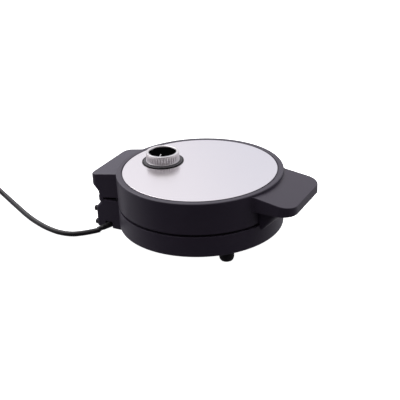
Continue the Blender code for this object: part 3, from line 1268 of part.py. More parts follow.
def make_plug(start, heading):
    """Moulded two-pin plug on its side of the coil, with a tapered neck towards the lead."""
    across = Vector((-heading.y, heading.x, 0))
    up = Vector((0, 0, 1))
    tall = start.z

    def section(along, half_width, half_height, corner):
        corners = [(-half_width, -half_height), (half_width, -half_height), (half_width, half_height),
                   (-half_width, half_height)]
        outline = rounded([(x, y, corner) for x, y in corners], 3)
        origin = start + heading * along
        return [origin + across * x + up * y for x, y in outline]

    half = PLUG_WIDTH / 2
    neck = PLUG_NECK_WIDTH / 2
    collar = CORD_DIAMETER / 2 + SEAT_GAP + TIE_THICKNESS
    body = loft("plug_body", [
        section(0, collar, collar, collar / 2),
        section(PLUG_NECK_LENGTH, neck, neck, neck / 2),
        section(PLUG_NECK_LENGTH + TIE_WIDTH, half * PLUG_SHARE_AT_NECK, tall * PLUG_SHARE_AT_NECK, PLUG_CORNER / 2),
        section(PLUG_NECK_LENGTH + PLUG_LENGTH / 2, half, tall, PLUG_CORNER),
        section(PLUG_NECK_LENGTH + PLUG_LENGTH, half, tall, PLUG_CORNER),
    ])
    finish(body, base, BLACK_RUBBER, 0.5)
    face = PLUG_NECK_LENGTH + PLUG_LENGTH + SEAT_GAP
    for side_name, sign in mirrored_sides():
        root = start + heading * face + across * sign * PLUG_PIN_SPACING / 2
        shoulder = root + heading * (PLUG_PIN_LENGTH - PLUG_PIN_ROUND)
        pin = turned("plug_pin_" + side_name, [
            (0, PLUG_PIN_LENGTH),
            (PLUG_PIN_RADIUS - PLUG_PIN_ROUND, PLUG_PIN_LENGTH),
            (PLUG_PIN_RADIUS, (shoulder - root).length),
            (PLUG_PIN_RADIUS, 0),
            (0, 0),
        ], root, 14, closed=False)
        pin.rotation_mode = "QUATERNION"
        pin.rotation_quaternion = up.rotation_difference(heading)
        finish(pin, base, BRASS, 0.3, 1.0)


make_base_housing()
make_bottom_cover()
make_cover_screws()
make_front_feet()
make_block_cover()
make_rear_feet()
make_rear_bumpers()
make_hinge_pins()
make_plate("lower_plate", base, LOWER_LIP_Z, 1)
make_element("lower_element", base, LOWER_UNDER_Z, 1)
make_reflector("lower_reflector", base, LOWER_UNDER_Z, 1)
make_thermal_fuse()
make_terminal_block()
make_lid_housing()
make_handle_cover()
make_lid_panel()
make_plate("upper_plate", lid, UPPER_LIP_Z, -1)
make_element("upper_element", lid, UPPER_UNDER_Z, -1)
make_reflector("upper_reflector", lid, UPPER_UNDER_Z, -1)
make_dial_bezel()
make_thermostat()
make_knob()
make_cord(make_relief_and_gland())
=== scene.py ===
"""A round waffle maker on a white table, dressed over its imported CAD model.

Metres, +Z up, as in the CAD. The handle points along -Y and the hinge is at +Y.
"""
import math

import bmesh
import bpy
from mathutils import Matrix, Quaternion, Vector


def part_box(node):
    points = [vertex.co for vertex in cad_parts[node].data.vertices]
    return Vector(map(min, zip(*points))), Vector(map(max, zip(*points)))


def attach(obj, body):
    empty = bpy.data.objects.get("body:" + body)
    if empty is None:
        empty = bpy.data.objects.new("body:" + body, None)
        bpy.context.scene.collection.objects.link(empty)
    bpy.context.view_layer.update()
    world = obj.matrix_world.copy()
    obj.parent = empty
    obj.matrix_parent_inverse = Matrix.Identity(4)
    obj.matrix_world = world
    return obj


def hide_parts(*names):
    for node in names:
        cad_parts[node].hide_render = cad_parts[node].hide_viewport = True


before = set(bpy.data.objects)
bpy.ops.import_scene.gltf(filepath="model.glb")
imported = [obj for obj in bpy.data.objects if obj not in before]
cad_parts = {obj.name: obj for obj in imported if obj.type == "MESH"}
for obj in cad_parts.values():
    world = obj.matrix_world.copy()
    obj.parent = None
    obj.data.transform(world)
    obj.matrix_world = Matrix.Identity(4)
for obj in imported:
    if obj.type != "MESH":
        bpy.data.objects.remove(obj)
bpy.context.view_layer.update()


# Studio
# A white table seen from the lead's side and a little above. The light comes from all round, as in
# a light tent that is open on the camera's side: bright above and behind, and dark towards the
# camera, so that upright black walls stay dark while level ones pick up a grey sheen.

CAMERA_AT = Vector((-0.9475, -0.5028, 0.5430))
CAMERA_AIM = Vector((-0.0006, 0.0049, 0.0408))
CAMERA_ROLL = math.radians(-2.3)
CAMERA_LENS = 83.97
TABLE_HALF = 4.0
TABLE_DROP = 0.0004
TABLE_WHITE = (1.0, 1.0, 1.0, 1)
TENT_ROOF = (0.98, 0.96, 0.97)
TENT_BACK = (0.74, 0.75, 0.82)
TENT_OPENING = (0.10, 0.09, 0.10)
TENT_FLOOR = (0.40, 0.39, 0.42)
TENT_FLOOR_OPENING = (0.055, 0.05, 0.06)
KEY_SIZE = 0.9
KEY_POWER = 9.0
KEY_AT = Vector((0.35, 0.9, 1.25))


class Reading:
    """A value in a node tree, so that shader maths reads as plain arithmetic."""

    def __init__(self, bench, socket):
        self.bench = bench
        self.socket = socket

    def maths(self, operation, *values):
        return self.bench.node("ShaderNodeMath", {"operation": operation}, dict(enumerate(values)))

    def __add__(self, other):
        return self.maths("ADD", self, other)

    def __sub__(self, other):
        return self.maths("SUBTRACT", self, other)

    def __rsub__(self, other):
        return self.maths("SUBTRACT", other, self)

    def __mul__(self, other):
        return self.maths("MULTIPLY", self, other)

    def __truediv__(self, other):
        return self.maths("DIVIDE", self, other)

    def __pow__(self, other):
        return self.maths("POWER", self, other)

    __radd__ = __add__
    __rmul__ = __mul__

    def rise(self, low, high):
        """0 below low, 1 above high and a smooth rise between."""
        settings = {"interpolation_type": "SMOOTHSTEP", "clamp": True}
        values = {"Value": self, "From Min": low, "From Max": high}
        return self.bench.node("ShaderNodeMapRange", settings, values)


class Bench:
    """A node tree being put together."""

    def __init__(self, tree):
        self.tree = tree

    def node(self, kind, settings=None, values=None, output=0):
        """One node: its settings first, then its sockets' values or links."""
        made = self.tree.nodes.new(kind)
        for name, value in (settings or {}).items():
            setattr(made, name, value)
        for key, value in (values or {}).items():
            self.feed(made.inputs[key], value)
        return Reading(self, made.outputs[output])

    def feed(self, socket, value):
        for given in value if isinstance(value, list) else [value]:
            if isinstance(given, Reading):
                self.tree.links.new(given.socket, socket)
            else:
                socket.default_value = given

    def parts_of(self, vector):
        split = self.node("ShaderNodeSeparateXYZ", values={"Vector": vector})
        return [Reading(self, output) for output in split.socket.node.outputs]

    def blend(self, share, first, second):
        """A colour between two others."""
        colours = {0: share}
        for key, colour in ((6, first), (7, second)):
            colours[key] = colour if isinstance(colour, Reading) else (*colour[:3], 1)
        return self.node("ShaderNodeMix", {"data_type": "RGBA", "clamp_factor": True}, colours, 2)


scene = bpy.context.scene
scene.view_settings.view_transform = "Standard"
scene.view_settings.look = "None"

camera = bpy.data.objects.new("camera", bpy.data.cameras.new("camera"))
scene.collection.objects.link(camera)
camera.location = CAMERA_AT
camera.rotation_mode = "QUATERNION"
look = (CAMERA_AIM - CAMERA_AT).to_track_quat("-Z", "Y")
camera.rotation_quaternion = look @ Quaternion((0, 0, 1), CAMERA_ROLL)
camera.data.lens = CAMERA_LENS
camera.data.sensor_width = 36
scene.camera = camera

scene.world = bpy.data.worlds.new("light_tent")
scene.world.use_nodes = True
tent = Bench(scene.world.node_tree)
way = tent.node("ShaderNodeTexCoord", output="Generated")
way_x, way_y, way_z = tent.parts_of(way)
open_side = (CAMERA_AT - CAMERA_AIM).xy.normalized()
facing = way_x * open_side.x + way_y * open_side.y
roof = tent.blend(way_z.rise(0.20, 0.62), TENT_BACK, TENT_ROOF)
roof = tent.blend((facing - way_z * 0.55).rise(-0.10, 0.42), roof, TENT_OPENING)
ground = tent.blend(facing.rise(-0.55, 0.50), TENT_FLOOR, TENT_FLOOR_OPENING)
light = tent.blend(way_z.rise(-0.06, 0.06), ground, roof)
tent.feed(scene.world.node_tree.nodes["Background"].inputs["Color"], light)

table_mesh = bpy.data.meshes.new("table")
corners = [(-TABLE_HALF, -TABLE_HALF), (TABLE_HALF, -TABLE_HALF),
           (TABLE_HALF, TABLE_HALF), (-TABLE_HALF, TABLE_HALF)]
table_mesh.from_pydata([(x, y, -TABLE_DROP) for x, y in corners], [], [(0, 1, 2, 3)])
table = bpy.data.objects.new("table", table_mesh)
scene.collection.objects.link(table)
table_white = bpy.data.materials.new("table_white")
table_white.use_nodes = True
table_shader = table_white.node_tree.nodes["Principled BSDF"]
table_shader.inputs["Base Color"].default_value = TABLE_WHITE
table_shader.inputs["Emission Color"].default_value = TABLE_WHITE
table_shader.inputs["Emission Strength"].default_value = 1.0
table_mesh.materials.append(table_white)
table.visible_glossy = False
table.visible_diffuse = False

key = bpy.data.objects.new("key_light", bpy.data.lights.new("key_light", "AREA"))
key.data.energy = KEY_POWER
key.data.size = KEY_SIZE
key.location = KEY_AT
key.rotation_mode = "QUATERNION"
key.rotation_quaternion = (CAMERA_AIM - KEY_AT).to_track_quat("-Z", "Y")
scene.collection.objects.link(key)


# Mains lead
# A round black rubber-sheathed lead, 6.8 mm across. It leaves the hinge block low on one side, sinks
# to the table and runs off in one loose bend; the rest is wound in a flat coil outside the picture.
# The route is the CAD's: listed points where it is loose, and a loop of turns for the coil.

LEAD_ACROSS = 0.0068
LEAD_RADIUS = LEAD_ACROSS / 2
EXIT_ANGLE = math.radians(20)
EXIT_DIRECTION = Vector((-math.cos(EXIT_ANGLE), math.sin(EXIT_ANGLE), 0))
DISC_Y = sum(corner.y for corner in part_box("lid_panel")) / 2
BLOCK_HALF = 0.046
EXIT_POINT = Vector((-BLOCK_HALF, DISC_Y + 0.1125, 0.0046))
RELIEF_INSIDE = 0.0135
RELIEF_OUTSIDE = 0.0095
LEAD_ROUTE = (
    (-0.0632, 0.1215, 0.0040),
    (-0.0698, 0.1282, 0.0035),
    (-0.0774, 0.1361, 0.0034),
    (-0.0842, 0.1458, 0.0034),
    (-0.0872, 0.1580, 0.0034),
    (-0.0863, 0.1748, 0.0034),
    (-0.0790, 0.1999, 0.0034),
    (-0.0652, 0.2304, 0.0034),
    (-0.0442, 0.2670, 0.0034),
    (-0.0123, 0.3207, 0.0034),
)
LEAD_STEP_COUNT = 9
COIL_START = Vector((0.0020, 0.3480, 0.0043))
COIL_HEADING = math.radians(68)
COIL_OUTER = 0.0410
COIL_PITCH = 0.0074
COIL_LAYER_TURNS = 1.5
COIL_CLIMB_TURNS = 0.5
COIL_LOOP_POINTS = 36
SHEATH = (0.0115, 0.0105, 0.0125)
SHEATH_WORN = (0.020, 0.0185, 0.0215)


class Finish(Bench):
    """One material, whose surface is a Principled shader."""

    def __init__(self, name, colour=None, **plain):
        self.material = bpy.data.materials.new(name)
        self.material.use_nodes = True
        super().__init__(self.material.node_tree)
        self.shader = self.tree.nodes["Principled BSDF"]
        if colour:
            self.set("Base Color", (*colour, 1))
        for socket, value in plain.items():
            self.set(socket.replace("_", " ").title().replace("Ior", "IOR"), value)

    def set(self, socket, value):
        self.feed(self.shader.inputs[socket], value)

    def place(self, scale=(1, 1, 1), turn=(0, 0, 0), centre=(0, 0, 0)):
        """Where a point is on its piece, stretched, turned or centred for a pattern."""
        point = self.node("ShaderNodeTexCoord", output="Object")
        return self.node("ShaderNodeMapping", values={
            "Vector": point, "Scale": scale, "Rotation": turn, "Location": centre,
        })

    def noise(self, scale, detail=2.0, roughness=0.5, at=None):
        return self.node("ShaderNodeTexNoise", values={
            "Vector": at or self.place(), "Scale": scale, "Detail": detail, "Roughness": roughness,
        })

    def bump(self, height, depth):
        """Raises the surface by a height of 0 to 1 times a depth in metres."""
        self.set("Normal", self.node("ShaderNodeBump", values={"Height": height, "Distance": depth}))

    def mottled(self, share, first, second, smooth=None, rise=0.0):
        """Two near tones mixed by a pattern, which may vary the roughness too."""
        self.set("Base Color", self.blend(share, first, second))
        if smooth:
            self.set("Roughness", smooth + share * rise)


def fitted(piece, finish, body, slot, *nodes):
    """Dresses a finished piece, and says what it rides on and the CAD nodes that it stands for. Its kind
    (slot) is not used.
    """
    piece.data.materials.clear()
    piece.data.materials.append(finish.material)
    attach(piece, body)
    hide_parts(*nodes)


def smooth_route(points, heading_in, heading_out, steps):
    """Points on a cubic curve through listed ones, with the headings given at both ends."""
    points = [Vector(point) for point in points]
    tangents = [heading_in * (points[1] - points[0]).length]
    tangents += [(after - before) / 2 for before, after in zip(points, points[2:])]
    tangents.append(heading_out * (points[-1] - points[-2]).length)
    route = []
    for index in range(len(points) - 1):
        for step in range(steps):
            t = step / steps
            route.append(
                points[index] * (2 * t ** 3 - 3 * t ** 2 + 1) + tangents[index] * (t ** 3 - 2 * t ** 2 + t)
                + points[index + 1] * (3 * t ** 2 - 2 * t ** 3) + tangents[index + 1] * (t ** 3 - t ** 2)
            )
    return route + [points[-1]]


def coil_turns():
    """Two layers of turns, in along the table, up in half a turn, and out again on top."""
    heading = Vector((math.cos(COIL_HEADING), math.sin(COIL_HEADING), 0))
    inward = Vector((-heading.y, heading.x, 0))
    centre = COIL_START + inward * COIL_OUTER
    turns = 2 * COIL_LAYER_TURNS + COIL_CLIMB_TURNS
    start = math.atan2(-inward.y, -inward.x)
    points = []
    for index in range(round(turns * COIL_LOOP_POINTS) + 1):
        done = index / COIL_LOOP_POINTS
        climb = min(max((done - COIL_LAYER_TURNS) / COIL_CLIMB_TURNS, 0), 1)
        reach = COIL_OUTER - COIL_PITCH * (turns / 2 - abs(done - turns / 2))
        angle = start + 2 * math.pi * done
        rise = COIL_PITCH * climb * climb * (3 - 2 * climb)
        points.append(centre + Vector((reach * math.cos(angle), reach * math.sin(angle), rise)))
    return points, heading, Vector((-math.sin(angle), math.cos(angle), 0)), centre


coil, heading, coil_heading, coil_centre = coil_turns()
relief_tip = EXIT_POINT + EXIT_DIRECTION * RELIEF_OUTSIDE
loose = [relief_tip + EXIT_DIRECTION * LEAD_ACROSS, *LEAD_ROUTE, COIL_START - heading * 2 * LEAD_ACROSS]
route = [relief_tip] + smooth_route(loose, EXIT_DIRECTION, heading, LEAD_STEP_COUNT)
route += coil + [coil[-1] + coil_heading * LEAD_ACROSS]

lead_curve = bpy.data.curves.new("mains_lead", "CURVE")
lead_curve.dimensions = "3D"
lead_curve.bevel_depth = LEAD_RADIUS
lead_curve.bevel_resolution = 5
lead_curve.use_fill_caps = True
spline = lead_curve.splines.new("POLY")
spline.points.add(len(route) - 1)
for point, at in zip(spline.points, route):
    point.co = (*at, 1)
spline.use_smooth = True
mains_lead = bpy.data.objects.new("mains_lead", lead_curve)
scene.collection.objects.link(mains_lead)

sheath = Finish("rubber_sheath", specular_ior_level=0.5, roughness=0.45)
rubbed = sheath.noise(140, 3).rise(0.35, 0.75)
sheath.mottled(rubbed, SHEATH, SHEATH_WORN, 0.38, 0.16)
sheath.bump(sheath.noise(1500, 2), 0.00006)
fitted(mains_lead, sheath, "base", "lead", "power_cord", "power_cord_coil")

# Strain relief
# A tapered rubber sleeve moulded on the lead where it passes through the hinge block's side. Rings
# are moulded round it, so that it bends evenly; its root is held inside the block.

RELIEF_ROOT = 0.0039
RELIEF_TIP = 0.0037
RELIEF_RINGS = 5
RELIEF_RING_WIDTH = 0.0011
RELIEF_RING_DEPTH = 0.0003
ROUND_STEPS = 40


def mesh_piece(name, build, sharp=38):
    """A smooth-shaded piece from a bmesh, with its faces outwards."""
    bmesh.ops.recalc_face_normals(build, faces=build.faces)
    mesh = bpy.data.meshes.new(name)
    build.to_mesh(mesh)
    build.free()
    mesh.shade_smooth()
    mesh.set_sharp_from_angle(angle=math.radians(sharp))
    piece = bpy.data.objects.new(name, mesh)
    scene.collection.objects.link(piece)
    return piece


def stack(name, rings, looped=False, sharp=38):
    """A skin over rings of points, closed at its two ends or joined into a loop."""
    build = bmesh.new()
    rows = [[build.verts.new(point) for point in ring] for ring in rings]
    for lower, upper in list(zip(rows, rows[1:])) + ([(rows[-1], rows[0])] if looped else []):
        for index in range(len(lower)):
            after = (index + 1) % len(lower)
            build.faces.new((lower[index], lower[after], upper[after], upper[index]))
    if not looped:
        build.faces.new(rows[0])
        build.faces.new(rows[-1])
    return mesh_piece(name, build, sharp)


def turned(name, profile, centre=(0, 0, 0), steps=ROUND_STEPS, axis=(0, 0, 1), sharp=38):
    """A shape turned about an axis from (radius, height) pairs; it is solid where it starts at radius 0."""
    stand = Vector((0, 0, 1)).rotation_difference(Vector(axis)).to_matrix()
    hollow = profile[0][0] > 0
    rings = []
    for radius, height in profile if hollow else profile[1:-1]:
        ring = []
        for step in range(steps):
            angle = 2 * math.pi * step / steps
            spoke = Vector((radius * math.cos(angle), radius * math.sin(angle), height))
            ring.append(Vector(centre) + stand @ spoke)
        rings.append(ring)
    return stack(name, rings, hollow, sharp)


def arc(centre_radius, centre_height, radius, first, last, steps=5, tall=None):
    """Profile points on a round edge, from one angle to another in degrees."""
    points = []
    for step in range(steps + 1):
        angle = math.radians(first + (last - first) * step / steps)
        points.append((centre_radius + radius * math.cos(angle),
                       centre_height + (tall or radius) * math.sin(angle)))
    return points


relief_length = RELIEF_INSIDE + RELIEF_OUTSIDE
relief_profile = [(0, 0), (RELIEF_ROOT, 0)]
for ring in range(RELIEF_RINGS):
    along = RELIEF_INSIDE + RELIEF_OUTSIDE * (ring + 0.35) / RELIEF_RINGS
    across = RELIEF_ROOT + (RELIEF_TIP - RELIEF_ROOT) * along / relief_length
    for shift, depth in ((0, 0), (0.15, 1), (0.85, 1), (1, 0)):
        relief_profile.append((across - depth * RELIEF_RING_DEPTH, along + shift * RELIEF_RING_WIDTH))
relief_profile += [(RELIEF_TIP, relief_length), (0, relief_length)]
relief = turned("relief_sleeve", relief_profile, EXIT_POINT - EXIT_DIRECTION * RELIEF_INSIDE,
                axis=EXIT_DIRECTION)
fitted(relief, sheath, "base", "lead", "strain_relief")


# Plug
# A moulded two-pin plug lying beside the coil, with a tapered neck round the lead. Its body is one
# rubbery moulding with finger hollows in its sides; the pins are plated brass with rounded ends.

PLUG_NECK = 0.020
PLUG_LENGTH = 0.034
PLUG_HALF = 0.018
PLUG_NECK_HALF = 0.007
PLUG_WAIST_HALF = 0.0135
PLUG_CORNER = 0.006
PLUG_SHOULDER = 0.003
PLUG_WAIST_AT = 0.012
PLUG_WAIST_END = 0.022
PLUG_GRIP_END = 0.027
PLUG_EDGE = 0.001
COLLAR_WALL = 0.0006
PIN_RADIUS = 0.0024
PIN_LENGTH = 0.019
PIN_SPACING = 0.019
PIN_TIP = 0.0009
PIN_GAP = 0.0003


def rounded(corners, steps=8):
    """An outline from (x, y, radius) corners, each rounded by an arc."""
    outline = []
    for index, (x, y, radius) in enumerate(corners):
        here = Vector((x, y))
        before = (Vector(corners[index - 1][:2]) - here).normalized()
        after = (Vector(corners[(index + 1) % len(corners)][:2]) - here).normalized()
        if radius == 0:
            outline.append((x, y))
            continue
        half = before.angle(after) / 2
        centre = here + (before + after).normalized() * radius / math.sin(half)
        first = here + before * radius / math.tan(half) - centre
        last = here + after * radius / math.tan(half) - centre
        turn = first.angle_signed(last)
        for step in range(steps + 1):
            arm = first.copy()
            arm.rotate(Matrix.Rotation(-turn * step / steps, 2))
            outline.append(tuple(centre + arm))
    return outline


def rounded_box(left, right, low, high, corner, steps=8):
    """A rectangle's outline with its four corners rounded alike."""
    corners = [(left, low, corner), (right, low, corner), (right, high, corner), (left, high, corner)]
    return rounded(corners, steps)


plug_start = coil[-1] + coil_heading * LEAD_ACROSS
plug_across = Vector((-coil_heading.y, coil_heading.x, 0))
plug_tall = plug_start.z
collar = LEAD_RADIUS + COLLAR_WALL


def plug_section(along, half_width, half_height, corner):
    outline = rounded_box(-half_width, half_width, -half_height, half_height, corner)
    foot = plug_start + coil_heading * along
    return [foot + plug_across * x + Vector((0, 0, y)) for x, y in outline]


plug = stack("plug_moulding", [
    plug_section(0, collar, collar, collar * 0.98),
    plug_section(PLUG_NECK * 0.5, collar * 1.25, collar * 1.25, collar * 1.2),
    plug_section(PLUG_NECK, PLUG_NECK_HALF, PLUG_NECK_HALF, PLUG_NECK_HALF * 0.9),
    plug_section(PLUG_NECK + PLUG_SHOULDER, PLUG_HALF * 0.50, plug_tall * 0.66, PLUG_CORNER * 0.9),
    plug_section(PLUG_NECK + 2 * PLUG_SHOULDER, PLUG_HALF * 0.66, plug_tall * 0.74, PLUG_CORNER),
    plug_section(PLUG_NECK + PLUG_WAIST_AT, PLUG_WAIST_HALF, plug_tall * 0.84, PLUG_CORNER),
    plug_section(PLUG_NECK + PLUG_WAIST_END, PLUG_HALF * 0.93, plug_tall * 0.96, PLUG_CORNER),
    plug_section(PLUG_NECK + PLUG_GRIP_END, PLUG_HALF, plug_tall, PLUG_CORNER),
    plug_section(PLUG_NECK + PLUG_LENGTH - PLUG_EDGE, PLUG_HALF, plug_tall, PLUG_CORNER),
    plug_section(PLUG_NECK + PLUG_LENGTH, PLUG_HALF - PLUG_EDGE, plug_tall - PLUG_EDGE,
                 PLUG_CORNER - PLUG_EDGE),
])
fitted(plug, sheath, "base", "plug", "plug_body")

brass = Finish("plated_brass", (0.66, 0.57, 0.36), metallic=1.0)
brass.set("Roughness", 0.22 + brass.noise(500, 3) * 0.12)
for side, sign in (("left", -1), ("right", 1)):
    root = plug_start + coil_heading * (PLUG_NECK + PLUG_LENGTH + PIN_GAP)
    root += plug_across * sign * PIN_SPACING / 2
    tip = arc(PIN_RADIUS - PIN_TIP, PIN_LENGTH - PIN_TIP, PIN_TIP, 0, 90)
    profile = [(0, 0), (PIN_RADIUS, 0), *tip, (0, PIN_LENGTH)]
    pin = turned("plug_contact_" + side, profile, root, 28, coil_heading)
    fitted(pin, brass, "base", "plug_pin", "plug_pin_" + side)


# Coil tie
# A flat strap of soft black plastic pulled once round the turns, with rounded corners.

TIE_THICKNESS = 0.0006
TIE_WIDTH = 0.0060
TIE_ANGLE = math.radians(200)
TIE_SLACK = 0.0004
TIE_CORNER = 0.0012

tie_way = Vector((math.cos(TIE_ANGLE), math.sin(TIE_ANGLE), 0))
tie_side = Vector((-tie_way.y, tie_way.x, 0))
tie_floor = Vector((coil_centre.x, coil_centre.y, 0))
arms = [Vector((point.x, point.y, 0)) - tie_floor for point in coil]
reaches = [arm.length for arm in arms if arm.angle(tie_way) < 2 * math.pi / COIL_LOOP_POINTS]
tie_near = min(reaches) - LEAD_RADIUS - TIE_SLACK
tie_far = max(reaches) + LEAD_RADIUS + TIE_SLACK
tie_top = coil[-1].z + LEAD_RADIUS + TIE_SLACK


def tie_ring(skin, shift):
    low, high = TIE_THICKNESS - skin, tie_top + skin
    outline = rounded_box(tie_near - skin, tie_far + skin, low, high, TIE_CORNER + skin, 4)
    foot = tie_floor + tie_side * shift
    return [foot + tie_way * reach + Vector((0, 0, level)) for reach, level in outline]


half_tie = TIE_WIDTH / 2
tie = stack("tie_strap", [tie_ring(0, -half_tie), tie_ring(TIE_THICKNESS, -half_tie),
                          tie_ring(TIE_THICKNESS, half_tie), tie_ring(0, half_tie)], looped=True)
fitted(tie, sheath, "base", "housing", "cord_tie")


# Base housing
# One black moulding: a low round wall that carries the lower plate, a lip in front that the handle
# comes down on, and a hollow block behind with the hinge's two inner knuckles on its top edge.

RIM_RADIUS = (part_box("lid_housing")[1].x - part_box("lid_housing")[0].x) / 2
WALL_RADIUS = RIM_RADIUS - 0.0004
WALL = 0.0026
WALL_INNER = WALL_RADIUS - WALL
SEAT_RADIUS = WALL_RADIUS - 0.0066
FLANGE = 0.0022
SOFT_EDGE = 0.0003
BASE_TOP_Z = 0.0407
BASE_LOW_Z = 0.0148
BASE_EDGE = 0.0010
COVER_RADIUS = WALL_RADIUS - 0.0046
COVER_FLANGE_Z = BASE_LOW_Z + 0.0028
RING_STEPS = 224
HANDLE_UNDER_Z = 0.0622
GRIP_HALF = 0.036
GRIP_REACH = 0.130
GRIP_TOP_Z = HANDLE_UNDER_Z - 0.0007
GRIP_EDGE = 0.0020
GRIP_ROOT = (0.1015, 0.035)
GRIP_BEND = (0.117, 0.0495)
GRIP_CORNER = 0.012
GRIP_INNER = 0.1023
GRIP_ROUND = 0.0007
GRIP_STEPS = 14
PIVOT_Y = DISC_Y + 0.1225
PIVOT_Z = 0.0415
BARREL = 0.0046
KNUCKLE_IN = 0.014
KNUCKLE_OUT = 0.0276
BLOCK_FRONT = 0.0934
BLOCK_REAR = 0.131
BLOCK_NECK = 0.1253
BLOCK_CORNER = 0.0045
NECK_CORNER = 0.006
BLOCK_LOW_Z = 0.0006
SHOULDER_Z = 0.0272
NECK_Z = 0.0350
BLOCK_TOP_Z = 0.0402
BLOCK_ROUND = 0.0007
CAVITY_TOP_Z = 0.0332
RUN_GAP = 0.0005
SEAT_GAP = 0.0003
PAST = 0.002
SLOT_HALF = 0.0053
SLOT_TOP_Z = 0.0094
WIRE_HALF = 0.012
PIN_BORE = 0.0023
PIN_IN = 0.0187
CUT_LOW_Z = 0.030
CUT_HIGH_Z = 0.100
FLANGE_WIDTH = 0.010
WEB_LOW_Z = 0.0345
WEB_BEHIND = 0.0018
WIRE_LOW_Z = 0.0215
WIRE_HIGH_Z = 0.0315

JOIN = "UNION"
CUT = "DIFFERENCE"
KEEP = "INTERSECT"
BLACK = (0.046, 0.038, 0.058)
BLACK_RUBBED = (0.054, 0.045, 0.066)


def worked(piece, *steps, sharp=38):
    """Joins shapes to a moulding or cuts them from it, in turn, and keeps a plain mesh."""
    for operation, tool in steps:
        change = piece.modifiers.new(tool.name, "BOOLEAN")
        change.operation = operation
        change.solver = "EXACT"
        change.object = tool
    bpy.context.view_layer.update()
    mesh = bpy.data.meshes.new_from_object(piece.evaluated_get(bpy.context.evaluated_depsgraph_get()))
    piece.modifiers.clear()
    piece.data = mesh
    mesh.shade_smooth()
    mesh.set_sharp_from_angle(angle=math.radians(sharp))
    for _, tool in steps:
        bpy.data.objects.remove(tool, do_unlink=True)
    return piece


def rod(name, start, end, radius, steps=ROUND_STEPS):
    start, end = Vector(start), Vector(end)
    length = (end - start).length
    return turned(name, [(0, 0), (radius, 0), (radius, length), (0, length)], start, steps, end - start)


def post(name, x, y, low, high, radius, steps=ROUND_STEPS):
    return rod(name, (x, y, low), (x, y, high), radius, steps)


def axle(name, near, far, radius, steps=ROUND_STEPS):
    """A rod on the hinge's axis."""
    return rod(name, (near, PIVOT_Y, PIVOT_Z), (far, PIVOT_Y, PIVOT_Z), radius, steps)


def brick(name, low, high):
    (x, y, z), (far_x, far_y, far_z) = low, high
    outline = [(x, y), (far_x, y), (far_x, far_y), (x, far_y)]
    return stack(name, [[(*point, level) for point in outline] for level in (z, far_z)])


def block_ring(half, front, rear, corner, level):
    """A ring of a rear block: square in front and rounded behind; its level may change with y."""
    corners = [(-half, front, 0), (half, front, 0), (half, rear, corner), (-half, rear, corner)]
    at = level if callable(level) else lambda _: level
    return [(x, DISC_Y + y, at(y)) for x, y in rounded(corners)]


def disc_plug(name, radius, low, high):
    return post(name, 0, DISC_Y, low, high, radius, RING_STEPS)


def even_normals(piece):
    """Flat faces keep flat shading beside rounded edges."""
    weigh = piece.modifiers.new("even_normals", "WEIGHTED_NORMAL")
    weigh.keep_sharp = True
    weigh.weight = 50


base_ring = turned("base_moulding", [
    (SEAT_RADIUS, BASE_TOP_Z),
    *arc(WALL_RADIUS - SOFT_EDGE, BASE_TOP_Z - SOFT_EDGE, SOFT_EDGE, 90, 0, 3),
    *arc(WALL_RADIUS - BASE_EDGE, BASE_LOW_Z + BASE_EDGE, BASE_EDGE, 0, -90, 7),
    (COVER_RADIUS, BASE_LOW_Z),
    (COVER_RADIUS, COVER_FLANGE_Z),
    (WALL_INNER - FLANGE_WIDTH, COVER_FLANGE_Z),
    (WALL_INNER - FLANGE_WIDTH, COVER_FLANGE_Z + FLANGE),
    (WALL_INNER, COVER_FLANGE_Z + FLANGE),
    (WALL_INNER, BASE_TOP_Z - FLANGE),
    (SEAT_RADIUS, BASE_TOP_Z - FLANGE),
], (0, DISC_Y, 0), RING_STEPS)


def base_block(shrink, name, top, low):
    """The hinge block's outside, or its hollow when it is drawn in by a wall."""
    half, front = BLOCK_HALF - shrink, BLOCK_FRONT + shrink
    rear, neck = BLOCK_REAR - shrink, BLOCK_NECK - shrink
    fall = NECK_Z - CAVITY_TOP_Z if shrink else 0
    edge = BLOCK_ROUND
    rings = [
        block_ring(half - edge, front, rear - edge, BLOCK_CORNER - shrink - edge, low),
        block_ring(half - edge / 4, front, rear - edge / 4, BLOCK_CORNER - shrink, low + edge / 4),
        block_ring(half, front, rear, BLOCK_CORNER - shrink, low + edge),
        block_ring(half, front, rear, BLOCK_CORNER - shrink, SHOULDER_Z - fall - edge),
        block_ring(half, front, rear - edge / 3, BLOCK_CORNER - shrink, SHOULDER_Z - fall + edge / 2),
        block_ring(half, front, neck + edge / 3, NECK_CORNER - shrink, min(NECK_Z - edge, top)),
    ]
    if not shrink:
        rings += [
            block_ring(half, front, neck, NECK_CORNER, NECK_Z + edge / 2),
            block_ring(half, front, neck, NECK_CORNER, top - edge),
            block_ring(half - edge / 4, front, neck - edge / 4, NECK_CORNER, top - edge / 4),
            block_ring(half - edge, front, neck - edge, NECK_CORNER - edge, top),
        ]
    return stack(name, rings)


def grip_ring(reach, level, inset=0):
    half = GRIP_HALF - inset
    back = WALL - WALL_INNER * math.cos(math.asin(GRIP_HALF / WALL_INNER))
    corner = min(GRIP_CORNER, (reach + back) / 2) - inset
    corners = [(half, back, 0), (-half, back, 0), (-half, inset - reach, corner),
               (half, inset - reach, corner)]
    return [(x, DISC_Y + y, level) for x, y in rounded(corners)]


